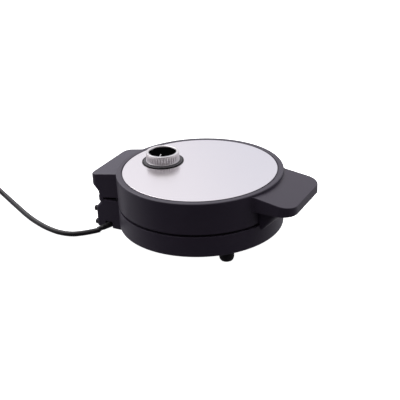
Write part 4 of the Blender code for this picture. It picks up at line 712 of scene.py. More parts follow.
grip_rings = []
for step in range(GRIP_STEPS + 1):
    share = step / GRIP_STEPS
    first, middle, last = (1 - share) ** 2, 2 * share * (1 - share), share ** 2
    reach = first * GRIP_ROOT[0] + middle * GRIP_BEND[0] + last * GRIP_REACH
    level = first * GRIP_ROOT[1] + middle * GRIP_BEND[1] + last * (GRIP_TOP_Z - GRIP_EDGE)
    grip_rings.append(grip_ring(reach, level))
grip_rings.append(grip_ring(GRIP_REACH, GRIP_TOP_Z - GRIP_ROUND))
grip_rings.append(grip_ring(GRIP_REACH, GRIP_TOP_Z - GRIP_ROUND / 4, GRIP_ROUND / 4))
grip_rings.append(grip_ring(GRIP_REACH, GRIP_TOP_Z, GRIP_ROUND))
grip = worked(stack("grip", grip_rings), (CUT, disc_plug("grip_back", GRIP_INNER, CUT_LOW_Z, CUT_HIGH_Z)))

block = worked(base_block(0, "base_block", BLOCK_TOP_Z, BLOCK_LOW_Z),
               (CUT, disc_plug("block_front", WALL_INNER + SEAT_GAP, BASE_LOW_Z - SEAT_GAP, CUT_HIGH_Z)))
hollow = worked(base_block(WALL, "base_hollow", CAVITY_TOP_Z, BLOCK_LOW_Z - PAST),
                (CUT, disc_plug("hollow_front", WALL_RADIUS, BASE_LOW_Z - SEAT_GAP - WALL, CUT_HIGH_Z)))

slot_y = EXIT_POINT.y - WALL / 2 * math.tan(EXIT_ANGLE)
base_steps = [
    (JOIN, block),
    (JOIN, grip),
    (CUT, hollow),
    (CUT, brick("wire_slot", (-WIRE_HALF, DISC_Y + WALL_INNER - PAST, WIRE_LOW_Z),
                (WIRE_HALF, DISC_Y + WALL_RADIUS + PAST, WIRE_HIGH_Z))),
    (CUT, brick("lead_slot", (-BLOCK_HALF - PAST, slot_y - SLOT_HALF, -PAST),
                (-BLOCK_HALF + 1.5 * WALL, slot_y + SLOT_HALF, SLOT_TOP_Z))),
    (CUT, axle("trough", -BLOCK_HALF - PAST, BLOCK_HALF + PAST, BARREL + RUN_GAP)),
]
for sign in (-1, 1):
    near, far = sorted((sign * KNUCKLE_IN, sign * KNUCKLE_OUT))
    base_steps += [
        (JOIN, axle(f"knuckle_{sign}", near, far, BARREL)),
        (JOIN, brick(f"web_{sign}", (near, PIVOT_Y - BARREL, WEB_LOW_Z),
                     (far, PIVOT_Y + WEB_BEHIND, PIVOT_Z))),
        (CUT, axle(f"bore_{sign}", sign * PIN_IN, sign * (KNUCKLE_OUT + PAST), PIN_BORE, 24)),
    ]
base_moulding = worked(base_ring, *base_steps)

moulding = Finish("black_moulding", specular_ior_level=0.38, roughness=0.4)
handled = moulding.noise(22, 4, 0.6).rise(0.38, 0.72)
spark = moulding.noise(2600, 2)
moulding.set("Base Color", moulding.blend(handled * 0.6, BLACK, BLACK_RUBBED))
moulding.set("Roughness", 0.33 + handled * 0.05 + spark * 0.08)
moulding.bump(spark, 0.000035)
even_normals(base_moulding)
fitted(base_moulding, moulding, "base", "housing", "base_housing")


# Covers under the base
# A moulded disc closes the base from below and a plate closes the hinge block. Two rings of slots in
# the disc let warm air out. Both sit inside the walls and are held by screws from below.

COVER_THICKNESS = 0.0025
COVER_ROUND = 0.0004
COVER_HOLE = 0.0017
VENT_LENGTH = 0.026
VENT_WIDTH = 0.0030
VENT_RINGS = (0.050, 0.066)
VENTS_AROUND = 10
BLOCK_COVER = 0.0028
REAR_POCKET = 0.0061
REAR_FOOT_TOP_Z = 0.0024


class Pattern(Bench):
    """A Geometry Nodes tree that repeats a shape; its sizes are named inputs of its modifier."""

    SOCKETS = {int: "NodeSocketInt", float: "NodeSocketFloat", bpy.types.Object: "NodeSocketObject"}

    def __init__(self, name, sizes, points=()):
        super().__init__(bpy.data.node_groups.new(name, "GeometryNodeTree"))
        self.name = name
        self.sizes = sizes
        self.points = points
        self.tree.interface.new_socket("Mesh", in_out="OUTPUT", socket_type="NodeSocketGeometry")
        self.tree.interface.new_socket("Points", in_out="INPUT", socket_type="NodeSocketGeometry")
        for size, value in sizes.items():
            self.tree.interface.new_socket(size, in_out="INPUT", socket_type=self.SOCKETS[type(value)])
        sources = self.tree.nodes.new("NodeGroupInput").outputs
        self.size = {source.name: Reading(self, source) for source in sources if source.name}

    def vector(self, x=0.0, y=0.0, z=0.0):
        return self.node("ShaderNodeCombineXYZ", values={"X": x, "Y": y, "Z": z})

    def moved(self, shape, **change):
        values = {key.title(): value for key, value in change.items()}
        return self.node("GeometryNodeTransform", values={"Geometry": shape, **values})

    def repeated(self, points, shape, **settings):
        values = {key.title(): value for key, value in settings.items()}
        values = {"Points": points, "Instance": shape, **values}
        return self.node("GeometryNodeInstanceOnPoints", values=values)

    def piece(self, shape, material):
        """Runs the tree once and keeps what it makes as one plain mesh."""
        real = self.node("GeometryNodeRealizeInstances", values={"Geometry": shape})
        dressed = self.node("GeometryNodeSetMaterial", values={"Geometry": real, "Material": material})
        self.feed(self.tree.nodes.new("NodeGroupOutput").inputs["Mesh"], dressed)
        mesh = bpy.data.meshes.new(self.name)
        mesh.from_pydata([tuple(point) for point in self.points], [], [])
        piece = bpy.data.objects.new(self.name, mesh)
        scene.collection.objects.link(piece)
        change = piece.modifiers.new(self.name, "NODES")
        change.node_group = self.tree
        for item in self.tree.interface.items_tree:
            if item.in_out == "INPUT" and item.name in self.sizes:
                change[item.identifier] = self.sizes[item.name]
        return worked(piece)


def middle(node):
    low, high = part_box(node)
    return (low + high) / 2


def vents(ring, radius):
    """Slots that follow a circle, as a tool that cuts through the cover."""
    sizes = {"Around": VENTS_AROUND, "Radius": radius, "Length": VENT_LENGTH, "Width": VENT_WIDTH,
             "Deep": 3 * COVER_THICKNESS}
    pattern = Pattern(f"vents_{ring}", sizes)
    size = pattern.size
    circle = pattern.node("GeometryNodeCurvePrimitiveCircle", values={
        "Resolution": size["Around"], "Radius": size["Radius"]})
    points = pattern.node("GeometryNodeCurveToPoints", {"mode": "EVALUATED"}, {"Curve": circle})
    turn = Reading(pattern, points.socket.node.outputs["Rotation"])
    end = pattern.node("GeometryNodeMeshCylinder", values={
        "Vertices": 16, "Radius": size["Width"] / 2, "Depth": size["Deep"]})
    reach = (size["Length"] - size["Width"]) / 2
    slot = pattern.node("GeometryNodeMeshCube", values={
        "Size": pattern.vector(size["Width"], size["Deep"], reach * 2)})
    lie = (math.pi / 2, 0.0, 0.0)
    ends = [pattern.moved(end, rotation=lie, translation=pattern.vector(z=reach * side)) for side in (-1, 1)]
    whole = pattern.node("GeometryNodeMeshBoolean", {"operation": "UNION", "solver": "EXACT"},
                         {"Mesh 2": [slot, *ends]})
    return pattern.piece(pattern.repeated(points, whole, rotation=turn), moulding.material)


cover_top = BASE_LOW_Z + COVER_THICKNESS
cover_reach = COVER_RADIUS - SEAT_GAP
cover = turned("cover_moulding", [
    (0, cover_top),
    (cover_reach, cover_top),
    *arc(cover_reach - COVER_ROUND, BASE_LOW_Z + COVER_ROUND, COVER_ROUND, 0, -90, 3),
    (0, BASE_LOW_Z),
], (0, DISC_Y, 0), RING_STEPS)
cover_steps = []
for index, radius in enumerate(VENT_RINGS):
    tool = vents(index, radius)
    shift = Matrix.Rotation(math.pi * index / VENTS_AROUND, 4, "Z")
    tool.data.transform(Matrix.Translation((0, DISC_Y, BASE_LOW_Z)) @ shift)
    cover_steps.append((CUT, tool))
for index in range(4):
    place = middle(f"cover_screw_{index + 1}")
    cover_steps.append((CUT, post(f"cover_hole_{index}", place.x, place.y, BASE_LOW_Z - PAST,
                                  cover_top + PAST, COVER_HOLE, 24)))
cover = worked(cover, *cover_steps)
fitted(cover, moulding, "base", "housing", "bottom_cover")

inset = WALL + SEAT_GAP
cover_rings = []
for shrink, rise in ((COVER_ROUND, 0), (0, COVER_ROUND), (0, BLOCK_COVER)):
    cover_rings.append(block_ring(BLOCK_HALF - inset - shrink, BLOCK_FRONT + inset,
                                  BLOCK_REAR - inset - shrink, BLOCK_CORNER - inset, BLOCK_LOW_Z + rise))
cover_steps = [(CUT, rod("relief_trough", EXIT_POINT - EXIT_DIRECTION * (RELIEF_INSIDE + RUN_GAP),
                         EXIT_POINT, RELIEF_ROOT + RUN_GAP))]
for side in ("left", "right"):
    place = middle("rear_foot_" + side)
    cover_steps.append((CUT, post("pocket_" + side, place.x, place.y, -PAST,
                                  REAR_FOOT_TOP_Z + SEAT_GAP, REAR_POCKET)))
block_cover = worked(stack("block_cover_moulding", cover_rings), *cover_steps)
fitted(block_cover, moulding, "base", "housing", "hinge_block_cover")


# Screws
# Small zinc-plated pan-head screws with a cross recess: four in the base's cover, two in the handle's
# cover and two behind each reflector.

SCREW_HEAD = 0.0030
SCREW_HEAD_TALL = 0.0013
SCREW_SHANK = 0.0014
RECESS_WIDTH = 0.0008
RECESS_LENGTH = 0.0034
RECESS_DEEP = 0.0007
DOME_SHARE = 1.25

zinc = Finish("zinc_plating", (0.50, 0.51, 0.53), metallic=1.0)
zinc.set("Roughness", 0.28 + zinc.noise(900, 3) * 0.2)


def screws(name, nodes, body, head_down=True):
    """One screw at each node's place, its head below its seat or, turned over, above it."""
    low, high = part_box(nodes[0])
    seat = low.z + SCREW_HEAD_TALL if head_down else high.z - SCREW_HEAD_TALL
    points = [(middle(node).x, middle(node).y, seat) for node in nodes]
    sizes = {"Head": SCREW_HEAD, "Head tall": SCREW_HEAD_TALL, "Shank": SCREW_SHANK,
             "Long": high.z - low.z - SCREW_HEAD_TALL, "Recess width": RECESS_WIDTH,
             "Recess length": RECESS_LENGTH, "Recess deep": RECESS_DEEP}
    pattern = Pattern(name, sizes, points)
    size = pattern.size
    barrel = pattern.node("GeometryNodeMeshCylinder", values={
        "Vertices": 28, "Radius": size["Head"], "Depth": size["Head tall"]})
    barrel = pattern.moved(barrel, translation=pattern.vector(z=size["Head tall"] * -0.5))
    ball = pattern.node("GeometryNodeMeshUVSphere", values={"Segments": 28, "Rings": 18, "Radius": 1.0})
    spread = size["Head"] * DOME_SHARE
    ball = pattern.moved(ball, scale=pattern.vector(spread, spread, size["Head tall"]))
    head = pattern.node("GeometryNodeMeshBoolean", {"operation": "INTERSECT", "solver": "EXACT"},
                        {"Mesh 2": [barrel, ball]})
    bar = pattern.node("GeometryNodeMeshCube", values={
        "Size": pattern.vector(size["Recess length"], size["Recess width"], size["Recess deep"] * 2)})
    face = pattern.vector(z=size["Head tall"] * -1)
    slots = [pattern.moved(bar, rotation=(0.0, 0.0, turn), translation=face) for turn in (0.0, math.pi / 2)]
    head = pattern.node("GeometryNodeMeshBoolean", {"operation": "DIFFERENCE", "solver": "EXACT"},
                        {"Mesh 1": head, "Mesh 2": slots})
    shank = pattern.node("GeometryNodeMeshCylinder", values={
        "Vertices": 20, "Radius": size["Shank"], "Depth": size["Long"]})
    shank = pattern.moved(shank, translation=pattern.vector(z=size["Long"] / 2))
    whole = pattern.node("GeometryNodeJoinGeometry", values={"Geometry": [head, shank]})
    turn = (0.0, 0.0, math.radians(25)) if head_down else (math.pi, 0.0, math.radians(25))
    piece = pattern.piece(pattern.repeated(pattern.size["Points"], whole, rotation=turn), zinc.material)
    fitted(piece, zinc, body, "fastener", *nodes)


screws("cover_screws", [f"cover_screw_{number}" for number in range(1, 5)], "base")
screws("handle_screws", ["handle_screw_left", "handle_screw_right"], "lid")
screws("lower_reflector_screws", ["lower_reflector_screw_left", "lower_reflector_screw_right"], "base")
screws("upper_reflector_screws", ["upper_reflector_screw_left", "upper_reflector_screw_right"], "lid", False)


# Feet and bumpers
# Two tall round feet moulded in black stand under the front; two thin pads let into the block's cover
# carry the rear. Four grey rubber buttons on the block's back face let the cooker be stood on end.

FOOT_RADIUS = 0.0092
FOOT_TIP = 0.0060
FOOT_ROUND_Z = 0.0062
PAD_ROUND = 0.0006
BUMPER_RADIUS = 0.0038
BUMPER_LENGTH = 0.0036
BUMPER_ROUND = 0.0012
RUBBER_GREY = (0.055, 0.054, 0.058)
RUBBER_PALE = (0.08, 0.078, 0.082)

foot_rubber = Finish("foot_rubber", specular_ior_level=0.4, roughness=0.7)
dusty = foot_rubber.noise(260, 3).rise(0.3, 0.8)
foot_rubber.mottled(dusty, SHEATH, SHEATH_WORN)
foot_rubber.bump(foot_rubber.noise(1800, 2), 0.00004)
button_rubber = Finish("button_rubber", specular_ior_level=0.35, roughness=0.75)
button_rubber.mottled(button_rubber.noise(500, 3), RUBBER_GREY, RUBBER_PALE)
button_rubber.bump(button_rubber.noise(1500, 2), 0.00005)

foot_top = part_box("front_foot_left")[1].z
for side in ("left", "right"):
    at = middle("front_foot_" + side)
    foot = turned("tall_foot_" + side, [
        (0, foot_top),
        (FOOT_RADIUS, foot_top),
        *arc(FOOT_TIP, FOOT_ROUND_Z, FOOT_RADIUS - FOOT_TIP, 0, -90, 10, tall=FOOT_ROUND_Z),
        (0, 0),
    ], (at.x, at.y, 0), 48)
    fitted(foot, foot_rubber, "base", "foot", "front_foot_" + side)
    low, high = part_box("rear_foot_" + side)
    pad_radius = (high.x - low.x) / 2
    at = middle("rear_foot_" + side)
    pad = turned("pad_" + side, [
        (0, high.z),
        (pad_radius, high.z),
        *arc(pad_radius - PAD_ROUND, PAD_ROUND, PAD_ROUND, 0, -90, 4),
        (0, 0),
    ], (at.x, at.y, 0))
    fitted(pad, foot_rubber, "base", "foot", "rear_foot_" + side)
    for level in ("upper", "lower"):
        node = f"rear_bumper_{level}_{side}"
        at = middle(node)
        root = (at.x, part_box(node)[0].y, at.z)
        button = turned(f"button_{level}_{side}", [
            (0, 0),
            (BUMPER_RADIUS, 0),
            *arc(BUMPER_RADIUS - BUMPER_ROUND, BUMPER_LENGTH - BUMPER_ROUND, BUMPER_ROUND, 0, 90, 5),
            (0, BUMPER_LENGTH),
        ], root, 36, (0, 1, 0))
        fitted(button, button_rubber, "base", "bumper", node)


# Baking plates
# Two aluminium castings with a dark non-stick coating. Each has a well with a field of square pegs
# that press the waffle's pattern, a sloping rim and a thin lip by which it lies on its housing.

PLATE_LIP_RADIUS = 0.0992
PLATE_LIP = 0.0011
PLATE_RIM_RADIUS = 0.0945
PLATE_FLOOR_RADIUS = 0.0915
PLATE_BODY_RADIUS = 0.0972
PLATE_DEPTH = 0.0092
PLATE_THICKNESS = 0.0036
PLATE_FILLET = 0.0018
LIP_ROUND = 0.0005
PEG_PITCH = 0.018
PEG_BASE = 0.0124
PEG_TIP = 0.0092
PEG_HEIGHT = 0.0058
PEG_FILLET = 0.0009
PEG_ROUND = 0.0009
PEG_CORNER = 0.0016
PEG_SINK = 0.0004
PEG_FIELD = 0.081
PEG_ROWS = 8
POST_RADIUS = 0.0042
POST_X = 0.036
POST_LENGTH = 0.0076
COATING = (0.018, 0.0175, 0.0185)
COATING_WORN = (0.030, 0.029, 0.030)

coating = Finish("nonstick_coating", specular_ior_level=0.55, roughness=0.35)
fleck = coating.noise(1400, 3, 0.7).rise(0.52, 0.70)
seasoned = coating.noise(35, 4).rise(0.35, 0.75)
coating.set("Base Color", coating.blend(seasoned * 0.7 + fleck * 0.3, COATING, COATING_WORN))
coating.set("Roughness", 0.30 + seasoned * 0.10 + fleck * 0.06)
coating.bump(coating.noise(900, 3), 0.00005)


def quarter(steps):
    """Cosine and sine pairs over a quarter turn, for rounding an edge."""
    angles = [math.pi / 2 * step / steps for step in range(steps + 1)]
    return [(math.cos(angle), math.sin(angle)) for angle in angles]


def peg():
    """A square peg with rounded corners, a soft top edge and a fillet at its foot."""
    rows = [(PEG_BASE / 2 + PEG_FILLET, -PEG_SINK)]
    for run, rise in quarter(4):
        rows.append((PEG_BASE / 2 + PEG_FILLET * (1 - rise), PEG_FILLET * (1 - run)))
    for run, rise in quarter(4):
        rows.append((PEG_TIP / 2 - PEG_ROUND * (1 - run), PEG_HEIGHT - PEG_ROUND * (1 - rise)))
    rings = []
    for half, level in rows:
        corner = PEG_CORNER + max(half - PEG_BASE / 2, 0)
        rings.append([(x, y, level) for x, y in rounded_box(-half, half, -half, half, corner, 4)])
    return stack("peg", rings)


def pegs(name):
    """The field of pegs: a square grid of them, cut off at a round edge."""
    model = peg()
    sizes = {"Rows": PEG_ROWS, "Pitch": PEG_PITCH, "Field": PEG_FIELD, "Peg": model}
    pattern = Pattern(name, sizes)
    size = pattern.size
    across = (size["Rows"] - 1) * size["Pitch"]
    grid = pattern.node("GeometryNodeMeshGrid", values={
        "Size X": across, "Size Y": across, "Vertices X": size["Rows"], "Vertices Y": size["Rows"]})
    position = pattern.node("GeometryNodeInputPosition")
    reach = pattern.node("ShaderNodeVectorMath", {"operation": "LENGTH"}, {0: position}, 1)
    outside = pattern.node("FunctionNodeCompare", {"operation": "GREATER_THAN"},
                           {"A": reach, "B": size["Field"]})
    grid = pattern.node("GeometryNodeDeleteGeometry", {"domain": "POINT"},
                        {"Geometry": grid, "Selection": outside})
    shape = pattern.node("GeometryNodeObjectInfo", values={"Object": size["Peg"]})
    shape = Reading(pattern, shape.socket.node.outputs["Geometry"])
    field = pattern.piece(pattern.repeated(grid, shape), coating.material)
    bpy.data.objects.remove(model, do_unlink=True)
    return field


def baking_plate(side, body, up):
    """The casting of one side; up is +1 for the lower plate and -1 for the upper one."""
    low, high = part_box(side + "_plate_rim")
    lip = high.z if up > 0 else low.z
    floor_z, under = lip - up * PLATE_DEPTH, lip - up * (PLATE_DEPTH + PLATE_THICKNESS)
    slope = math.atan2(PLATE_RIM_RADIUS - PLATE_FLOOR_RADIUS, PLATE_DEPTH)
    profile = [(0, floor_z)]
    for step in range(6):
        angle = (math.pi / 2 - slope) * step / 5
        profile.append((PLATE_FLOOR_RADIUS - PLATE_FILLET + PLATE_FILLET * math.sin(angle) * 1.1,
                        floor_z + up * PLATE_FILLET * (1 - math.cos(angle))))
    for run, rise in quarter(4):
        profile.append((PLATE_RIM_RADIUS + LIP_ROUND * (1 - run), lip - up * LIP_ROUND * (1 - rise)))
    profile += [
        (PLATE_LIP_RADIUS - LIP_ROUND, lip),
        (PLATE_LIP_RADIUS - LIP_ROUND / 3, lip - up * LIP_ROUND / 3),
        (PLATE_LIP_RADIUS, lip - up * LIP_ROUND),
        (PLATE_LIP_RADIUS, lip - up * PLATE_LIP),
        (PLATE_BODY_RADIUS, lip - up * PLATE_LIP),
        (PLATE_BODY_RADIUS, under),
        (0, under),
    ]
    plate = turned(side + "_casting", profile, (0, DISC_Y, 0), RING_STEPS)
    plate = worked(plate, *[
        (JOIN, post(f"{side}_post_{sign}", sign * POST_X, DISC_Y, under - up * POST_LENGTH,
                    under + up * PLATE_THICKNESS / 2, POST_RADIUS, 32)) for sign in (-1, 1)])
    field = pegs(side + "_pegs")
    stand = Matrix.Translation((0, DISC_Y, floor_z))
    field.data.transform(stand if up > 0 else stand @ Matrix.Rotation(math.pi, 4, "X"))
    fitted(plate, coating, body, "baking_plate", side + "_plate", side + "_plate_rim")
    fitted(field, coating, body, "baking_plate", side + "_plate")


baking_plate("lower", "base", 1)
baking_plate("upper", "lid", -1)


# Lid housing
# The upper black moulding: a tall round wall with a rounded rim that frames the steel panel, the
# handle in front, and the upper hinge block behind with the two outer knuckles.

LID_BOTTOM_Z = 0.0442
PANEL_TOP_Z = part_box("lid_panel")[1].z
CROWN_Z = PANEL_TOP_Z - 0.0002
RIM_INNER = 0.0985
RIM_LIP = 0.0004
RIM_ROUND = 0.0013
RIM_ROUND_TALL = 0.0013
LEDGE_Z = PANEL_TOP_Z - 0.0019
LEDGE = 0.0022
LEDGE_INNER = 0.0920
HANDLE_REACH = 0.144
HANDLE_TOP_Z = 0.080
HANDLE_TIP_Z = 0.0730
HANDLE_ROOT_HALF = 0.0472
HANDLE_TIP_HALF = 0.0494
HANDLE_CORNER = 0.018
HANDLE_WALL = 0.0028
HANDLE_ROOT_Y = 0.088
HANDLE_FLARE = 0.0060
HANDLE_ROUND = 0.0007
HANDLE_LOW_ROUND = 0.0006
HANDLE_SCREW_X = 0.025
HANDLE_SCREW_REACH = 0.122
HANDLE_COVER = 0.0024
BOSS_BORE = 0.0017
BOSS_BORE_DEEP = 0.006
NOTCH_HALF = 0.0448
NOTCH_INNER = 0.1006
NOTCH_WALL = 0.0022
LID_WIRE_LOW_Z = 0.050
LID_WIRE_HIGH_Z = 0.060
CHEEK_NEAR = 0.0374
CHEEK_FAR = 0.0441
CHEEK_REACH = 0.1034
REAR_REACH = 0.1364
LID_BLOCK_FRONT = 0.090
LID_BLOCK_TOP_Z = 0.0775
LID_BLOCK_EDGE_Z = 0.0725
LID_BLOCK_CORNER = 0.010
LID_NECK_CORNER = 0.006
LID_BLOCK_STEP_Z = 0.058
LID_NECK_Z = 0.050
LID_NECK = 0.1271
LID_NECK_LOW = 0.1255
LID_BLOCK_LOW_FRONT_Z = 0.0455
LID_BLOCK_LOW_REAR_Z = 0.0420
LID_BLOCK_ROUND = 0.0009
PIN_END_X = 0.0426


def slope(first, second, at_first, at_second):
    """The straight line through two (place, height) pairs."""
    return lambda y: at_first + (y - first) * (at_second - at_first) / (second - first)


handle_top = slope(-WALL_RADIUS, -HANDLE_REACH, HANDLE_TOP_Z, HANDLE_TIP_Z)
block_top = slope(WALL_RADIUS, REAR_REACH, LID_BLOCK_TOP_Z, LID_BLOCK_EDGE_Z)
block_low = slope(SEAT_RADIUS, 0.1225, LID_BLOCK_LOW_FRONT_Z, LID_BLOCK_LOW_REAR_Z)


def flare_points(root, tip):
    """The hollow curve by which the handle's side runs into the round wall."""
    lean = (tip - root) / (HANDLE_REACH - HANDLE_ROOT_Y)
    y = -HANDLE_ROOT_Y
    for _ in range(6):
        x = root - lean * (y + HANDLE_ROOT_Y) + HANDLE_FLARE
        y = -math.sqrt((WALL_RADIUS + HANDLE_FLARE) ** 2 - x ** 2)
    first = math.atan2(-y, -x)
    points = []
    for step in range(7):
        angle = first + (math.pi - first) * step / 6
        points.append((x + HANDLE_FLARE * math.cos(angle), y + HANDLE_FLARE * math.sin(angle), 0))
    return [(points[0][0] * 0.96, points[0][1] * 0.96, 0)] + points


def handle_ring(inset, level, flared=False):
    root, tip = HANDLE_ROOT_HALF - inset, HANDLE_TIP_HALF - inset
    right = flare_points(root, tip) if flared else [(root, -HANDLE_ROOT_Y, 0)]
    left = [(-x, y, corner) for x, y, corner in reversed(right)]
    front, corner = inset - HANDLE_REACH, HANDLE_CORNER - inset
    corners = right[:1] + left[::-1] + [(-tip, front, corner), (tip, front, corner)] + right[:0:-1]
    outline = rounded(corners, 12)
    at = level if callable(level) else lambda _: level
    return [(x, DISC_Y + y, at(y)) for x, y in outline]


def lowered(height, drop):
    return lambda y: height(y) - drop


handle_rings = []
for run, rise in quarter(3):
    level = HANDLE_UNDER_Z + HANDLE_LOW_ROUND * (1 - run)
    handle_rings.append(handle_ring(HANDLE_LOW_ROUND * (1 - rise), level, True))
for run, rise in quarter(5):
    level = lowered(handle_top, HANDLE_ROUND * (1 - rise))
    handle_rings.append(handle_ring(HANDLE_ROUND * (1 - run), level, True))
handle = worked(stack("handle", handle_rings),
                (CUT, disc_plug("handle_back", WALL_INNER + SEAT_GAP, CUT_LOW_Z, CUT_HIGH_Z)))


def lid_block(shrink, name):
    """The upper hinge block's outside, or its hollow when it is drawn in by a wall."""
    half, corner, edge = BLOCK_HALF - shrink, LID_BLOCK_CORNER - shrink, LID_BLOCK_ROUND
    low_corner = LID_NECK_CORNER - shrink
    neck, neck_low, rear = LID_NECK - shrink, LID_NECK_LOW - shrink, REAR_REACH - shrink
    if shrink:
        return stack(name, [
            block_ring(half, LID_BLOCK_FRONT, neck_low, low_corner, PIVOT_Z - BARREL - PAST),
            block_ring(half, LID_BLOCK_FRONT, neck, low_corner, LID_NECK_Z + shrink / 2),
            block_ring(half, LID_BLOCK_FRONT, rear, corner, LID_BLOCK_STEP_Z + shrink / 2),
            block_ring(half, LID_BLOCK_FRONT, rear, corner, lowered(block_top, shrink)),
        ])
    rings = [
        block_ring(half - edge / 2, LID_BLOCK_FRONT, neck_low - edge / 2, low_corner, block_low),
        block_ring(half, LID_BLOCK_FRONT, neck_low, low_corner, lowered(block_low, -edge / 2)),
        block_ring(half, LID_BLOCK_FRONT, neck, low_corner, LID_NECK_Z - edge / 2),
        block_ring(half, LID_BLOCK_FRONT, neck + edge / 3, low_corner, LID_NECK_Z + edge / 3),
        block_ring(half, LID_BLOCK_FRONT, rear - edge / 3, corner, LID_BLOCK_STEP_Z - edge / 3),
        block_ring(half, LID_BLOCK_FRONT, rear, corner, LID_BLOCK_STEP_Z + edge / 2),
    ]
    for run, rise in quarter(5):
        inside = edge * (1 - run)
        rings.append(block_ring(half - inside, LID_BLOCK_FRONT, rear - inside, corner - inside,
                                lowered(block_top, edge * (1 - rise))))
    return stack(name, rings)


def sector(name, inner, outer, low, high, half):
    """The front part of a ring, within a half width."""
    profile = [(outer, high), (outer, low), (inner, low), (inner, high)]
    ring = turned(name, profile, (0, DISC_Y, 0), RING_STEPS)
    window = brick(name + "_window", (-half, DISC_Y - RIM_RADIUS - 2 * PAST, low - PAST),
                   (half, DISC_Y, high + PAST))
    return worked(ring, (KEEP, window))


lid_ring = turned("lid_moulding", [
    (RIM_INNER, LEDGE_Z),
    *arc(RIM_INNER + RIM_LIP, CROWN_Z - RIM_LIP, RIM_LIP, 180, 90, 5),
    *arc(RIM_RADIUS - RIM_ROUND, CROWN_Z - RIM_ROUND_TALL, RIM_ROUND, 90, 0, 12, tall=RIM_ROUND_TALL),
    *arc(WALL_RADIUS - SOFT_EDGE, LID_BOTTOM_Z + SOFT_EDGE, SOFT_EDGE, 0, -90, 3),
    (SEAT_RADIUS, LID_BOTTOM_Z),
    (SEAT_RADIUS, LID_BOTTOM_Z + FLANGE),
    (WALL_INNER, LID_BOTTOM_Z + FLANGE),
    (WALL_INNER, LEDGE_Z - LEDGE),
    (LEDGE_INNER, LEDGE_Z - LEDGE),
    (LEDGE_INNER, LEDGE_Z),
], (0, DISC_Y, 0), RING_STEPS)
cheeks = worked(
    sector("cheeks", NOTCH_INNER - NOTCH_WALL / 2, CHEEK_REACH, LID_BOTTOM_Z,
           HANDLE_UNDER_Z + NOTCH_WALL / 2, CHEEK_FAR),
    (CUT, brick("between_cheeks", (-CHEEK_NEAR, DISC_Y - RIM_RADIUS, CUT_LOW_Z),
                (CHEEK_NEAR, DISC_Y, CUT_HIGH_Z))))
handle_hollow = worked(
    stack("handle_hollow", [handle_ring(HANDLE_WALL, HANDLE_UNDER_Z - PAST),
                            handle_ring(HANDLE_WALL, lowered(handle_top, HANDLE_WALL))]),
    (CUT, disc_plug("handle_hollow_back", WALL_RADIUS + SEAT_GAP, CUT_LOW_Z, CUT_HIGH_Z)))
upper_front = disc_plug("upper_block_front", WALL_INNER + SEAT_GAP, CUT_LOW_Z, CUT_HIGH_Z)
upper_block = worked(lid_block(0, "upper_block"), (CUT, upper_front))
upper_front = disc_plug("upper_hollow_front", WALL_RADIUS + SEAT_GAP, CUT_LOW_Z, CUT_HIGH_Z)
upper_hollow = worked(lid_block(WALL, "upper_hollow"), (CUT, upper_front))
lid_steps = [
    (JOIN, handle),
    (JOIN, upper_block),
    (CUT, handle_hollow),
    (CUT, upper_hollow),
    (CUT, brick("lid_wire_slot", (-WIRE_HALF, DISC_Y + WALL_INNER - PAST, LID_WIRE_LOW_Z),
                (WIRE_HALF, DISC_Y + WALL_RADIUS + PAST, LID_WIRE_HIGH_Z))),
    (JOIN, sector("notch_wall", NOTCH_INNER - NOTCH_WALL, WALL_INNER + WALL / 2, LID_BOTTOM_Z,
                  HANDLE_UNDER_Z + NOTCH_WALL, NOTCH_HALF + NOTCH_WALL)),
    (CUT, sector("notch", NOTCH_INNER, RIM_RADIUS + PAST, LID_BOTTOM_Z - PAST, HANDLE_UNDER_Z,
                 NOTCH_HALF)),
    (JOIN, cheeks),
    (CUT, axle("knuckle_room", -KNUCKLE_OUT - SEAT_GAP, KNUCKLE_OUT + SEAT_GAP, BARREL + RUN_GAP)),
]
for sign in (-1, 1):
    near, far = sorted((sign * (KNUCKLE_OUT + RUN_GAP), sign * BLOCK_HALF))
    outline = stack(f"barrel_outline_{sign}", [
        block_ring(BLOCK_HALF, LID_BLOCK_FRONT, LID_NECK, LID_NECK_CORNER, PIVOT_Z + rise)
        for rise in (-BARREL - PAST, BARREL + PAST)])
    barrel = worked(axle(f"barrel_{sign}", near, far, BARREL), (KEEP, outline))
    x, y = sign * HANDLE_SCREW_X, DISC_Y - HANDLE_SCREW_REACH
    boss_low = HANDLE_UNDER_Z + HANDLE_COVER + SEAT_GAP
    lid_steps += [
        (JOIN, barrel),
        (CUT, axle(f"lid_bore_{sign}", sign * KNUCKLE_OUT, sign * PIN_END_X, PIN_BORE, 24)),
        (JOIN, post(f"boss_{sign}", x, y, boss_low, handle_top(-HANDLE_SCREW_REACH) - HANDLE_WALL / 2,
                    POST_RADIUS, 28)),
        (CUT, post(f"boss_bore_{sign}", x, y, boss_low - PAST, boss_low + BOSS_BORE_DEEP,
                   BOSS_BORE, 20)),
    ]
lid_moulding = worked(lid_ring, *lid_steps)
even_normals(lid_moulding)
fitted(lid_moulding, moulding, "lid", "housing", "lid_housing")


# Handle cover
# A flat moulded plate that closes the handle from below, held by two screws let into it.

COVER_INSET = HANDLE_WALL + SEAT_GAP
HEAD_POCKET = 0.0033
HEAD_POCKET_DEEP = 0.0016

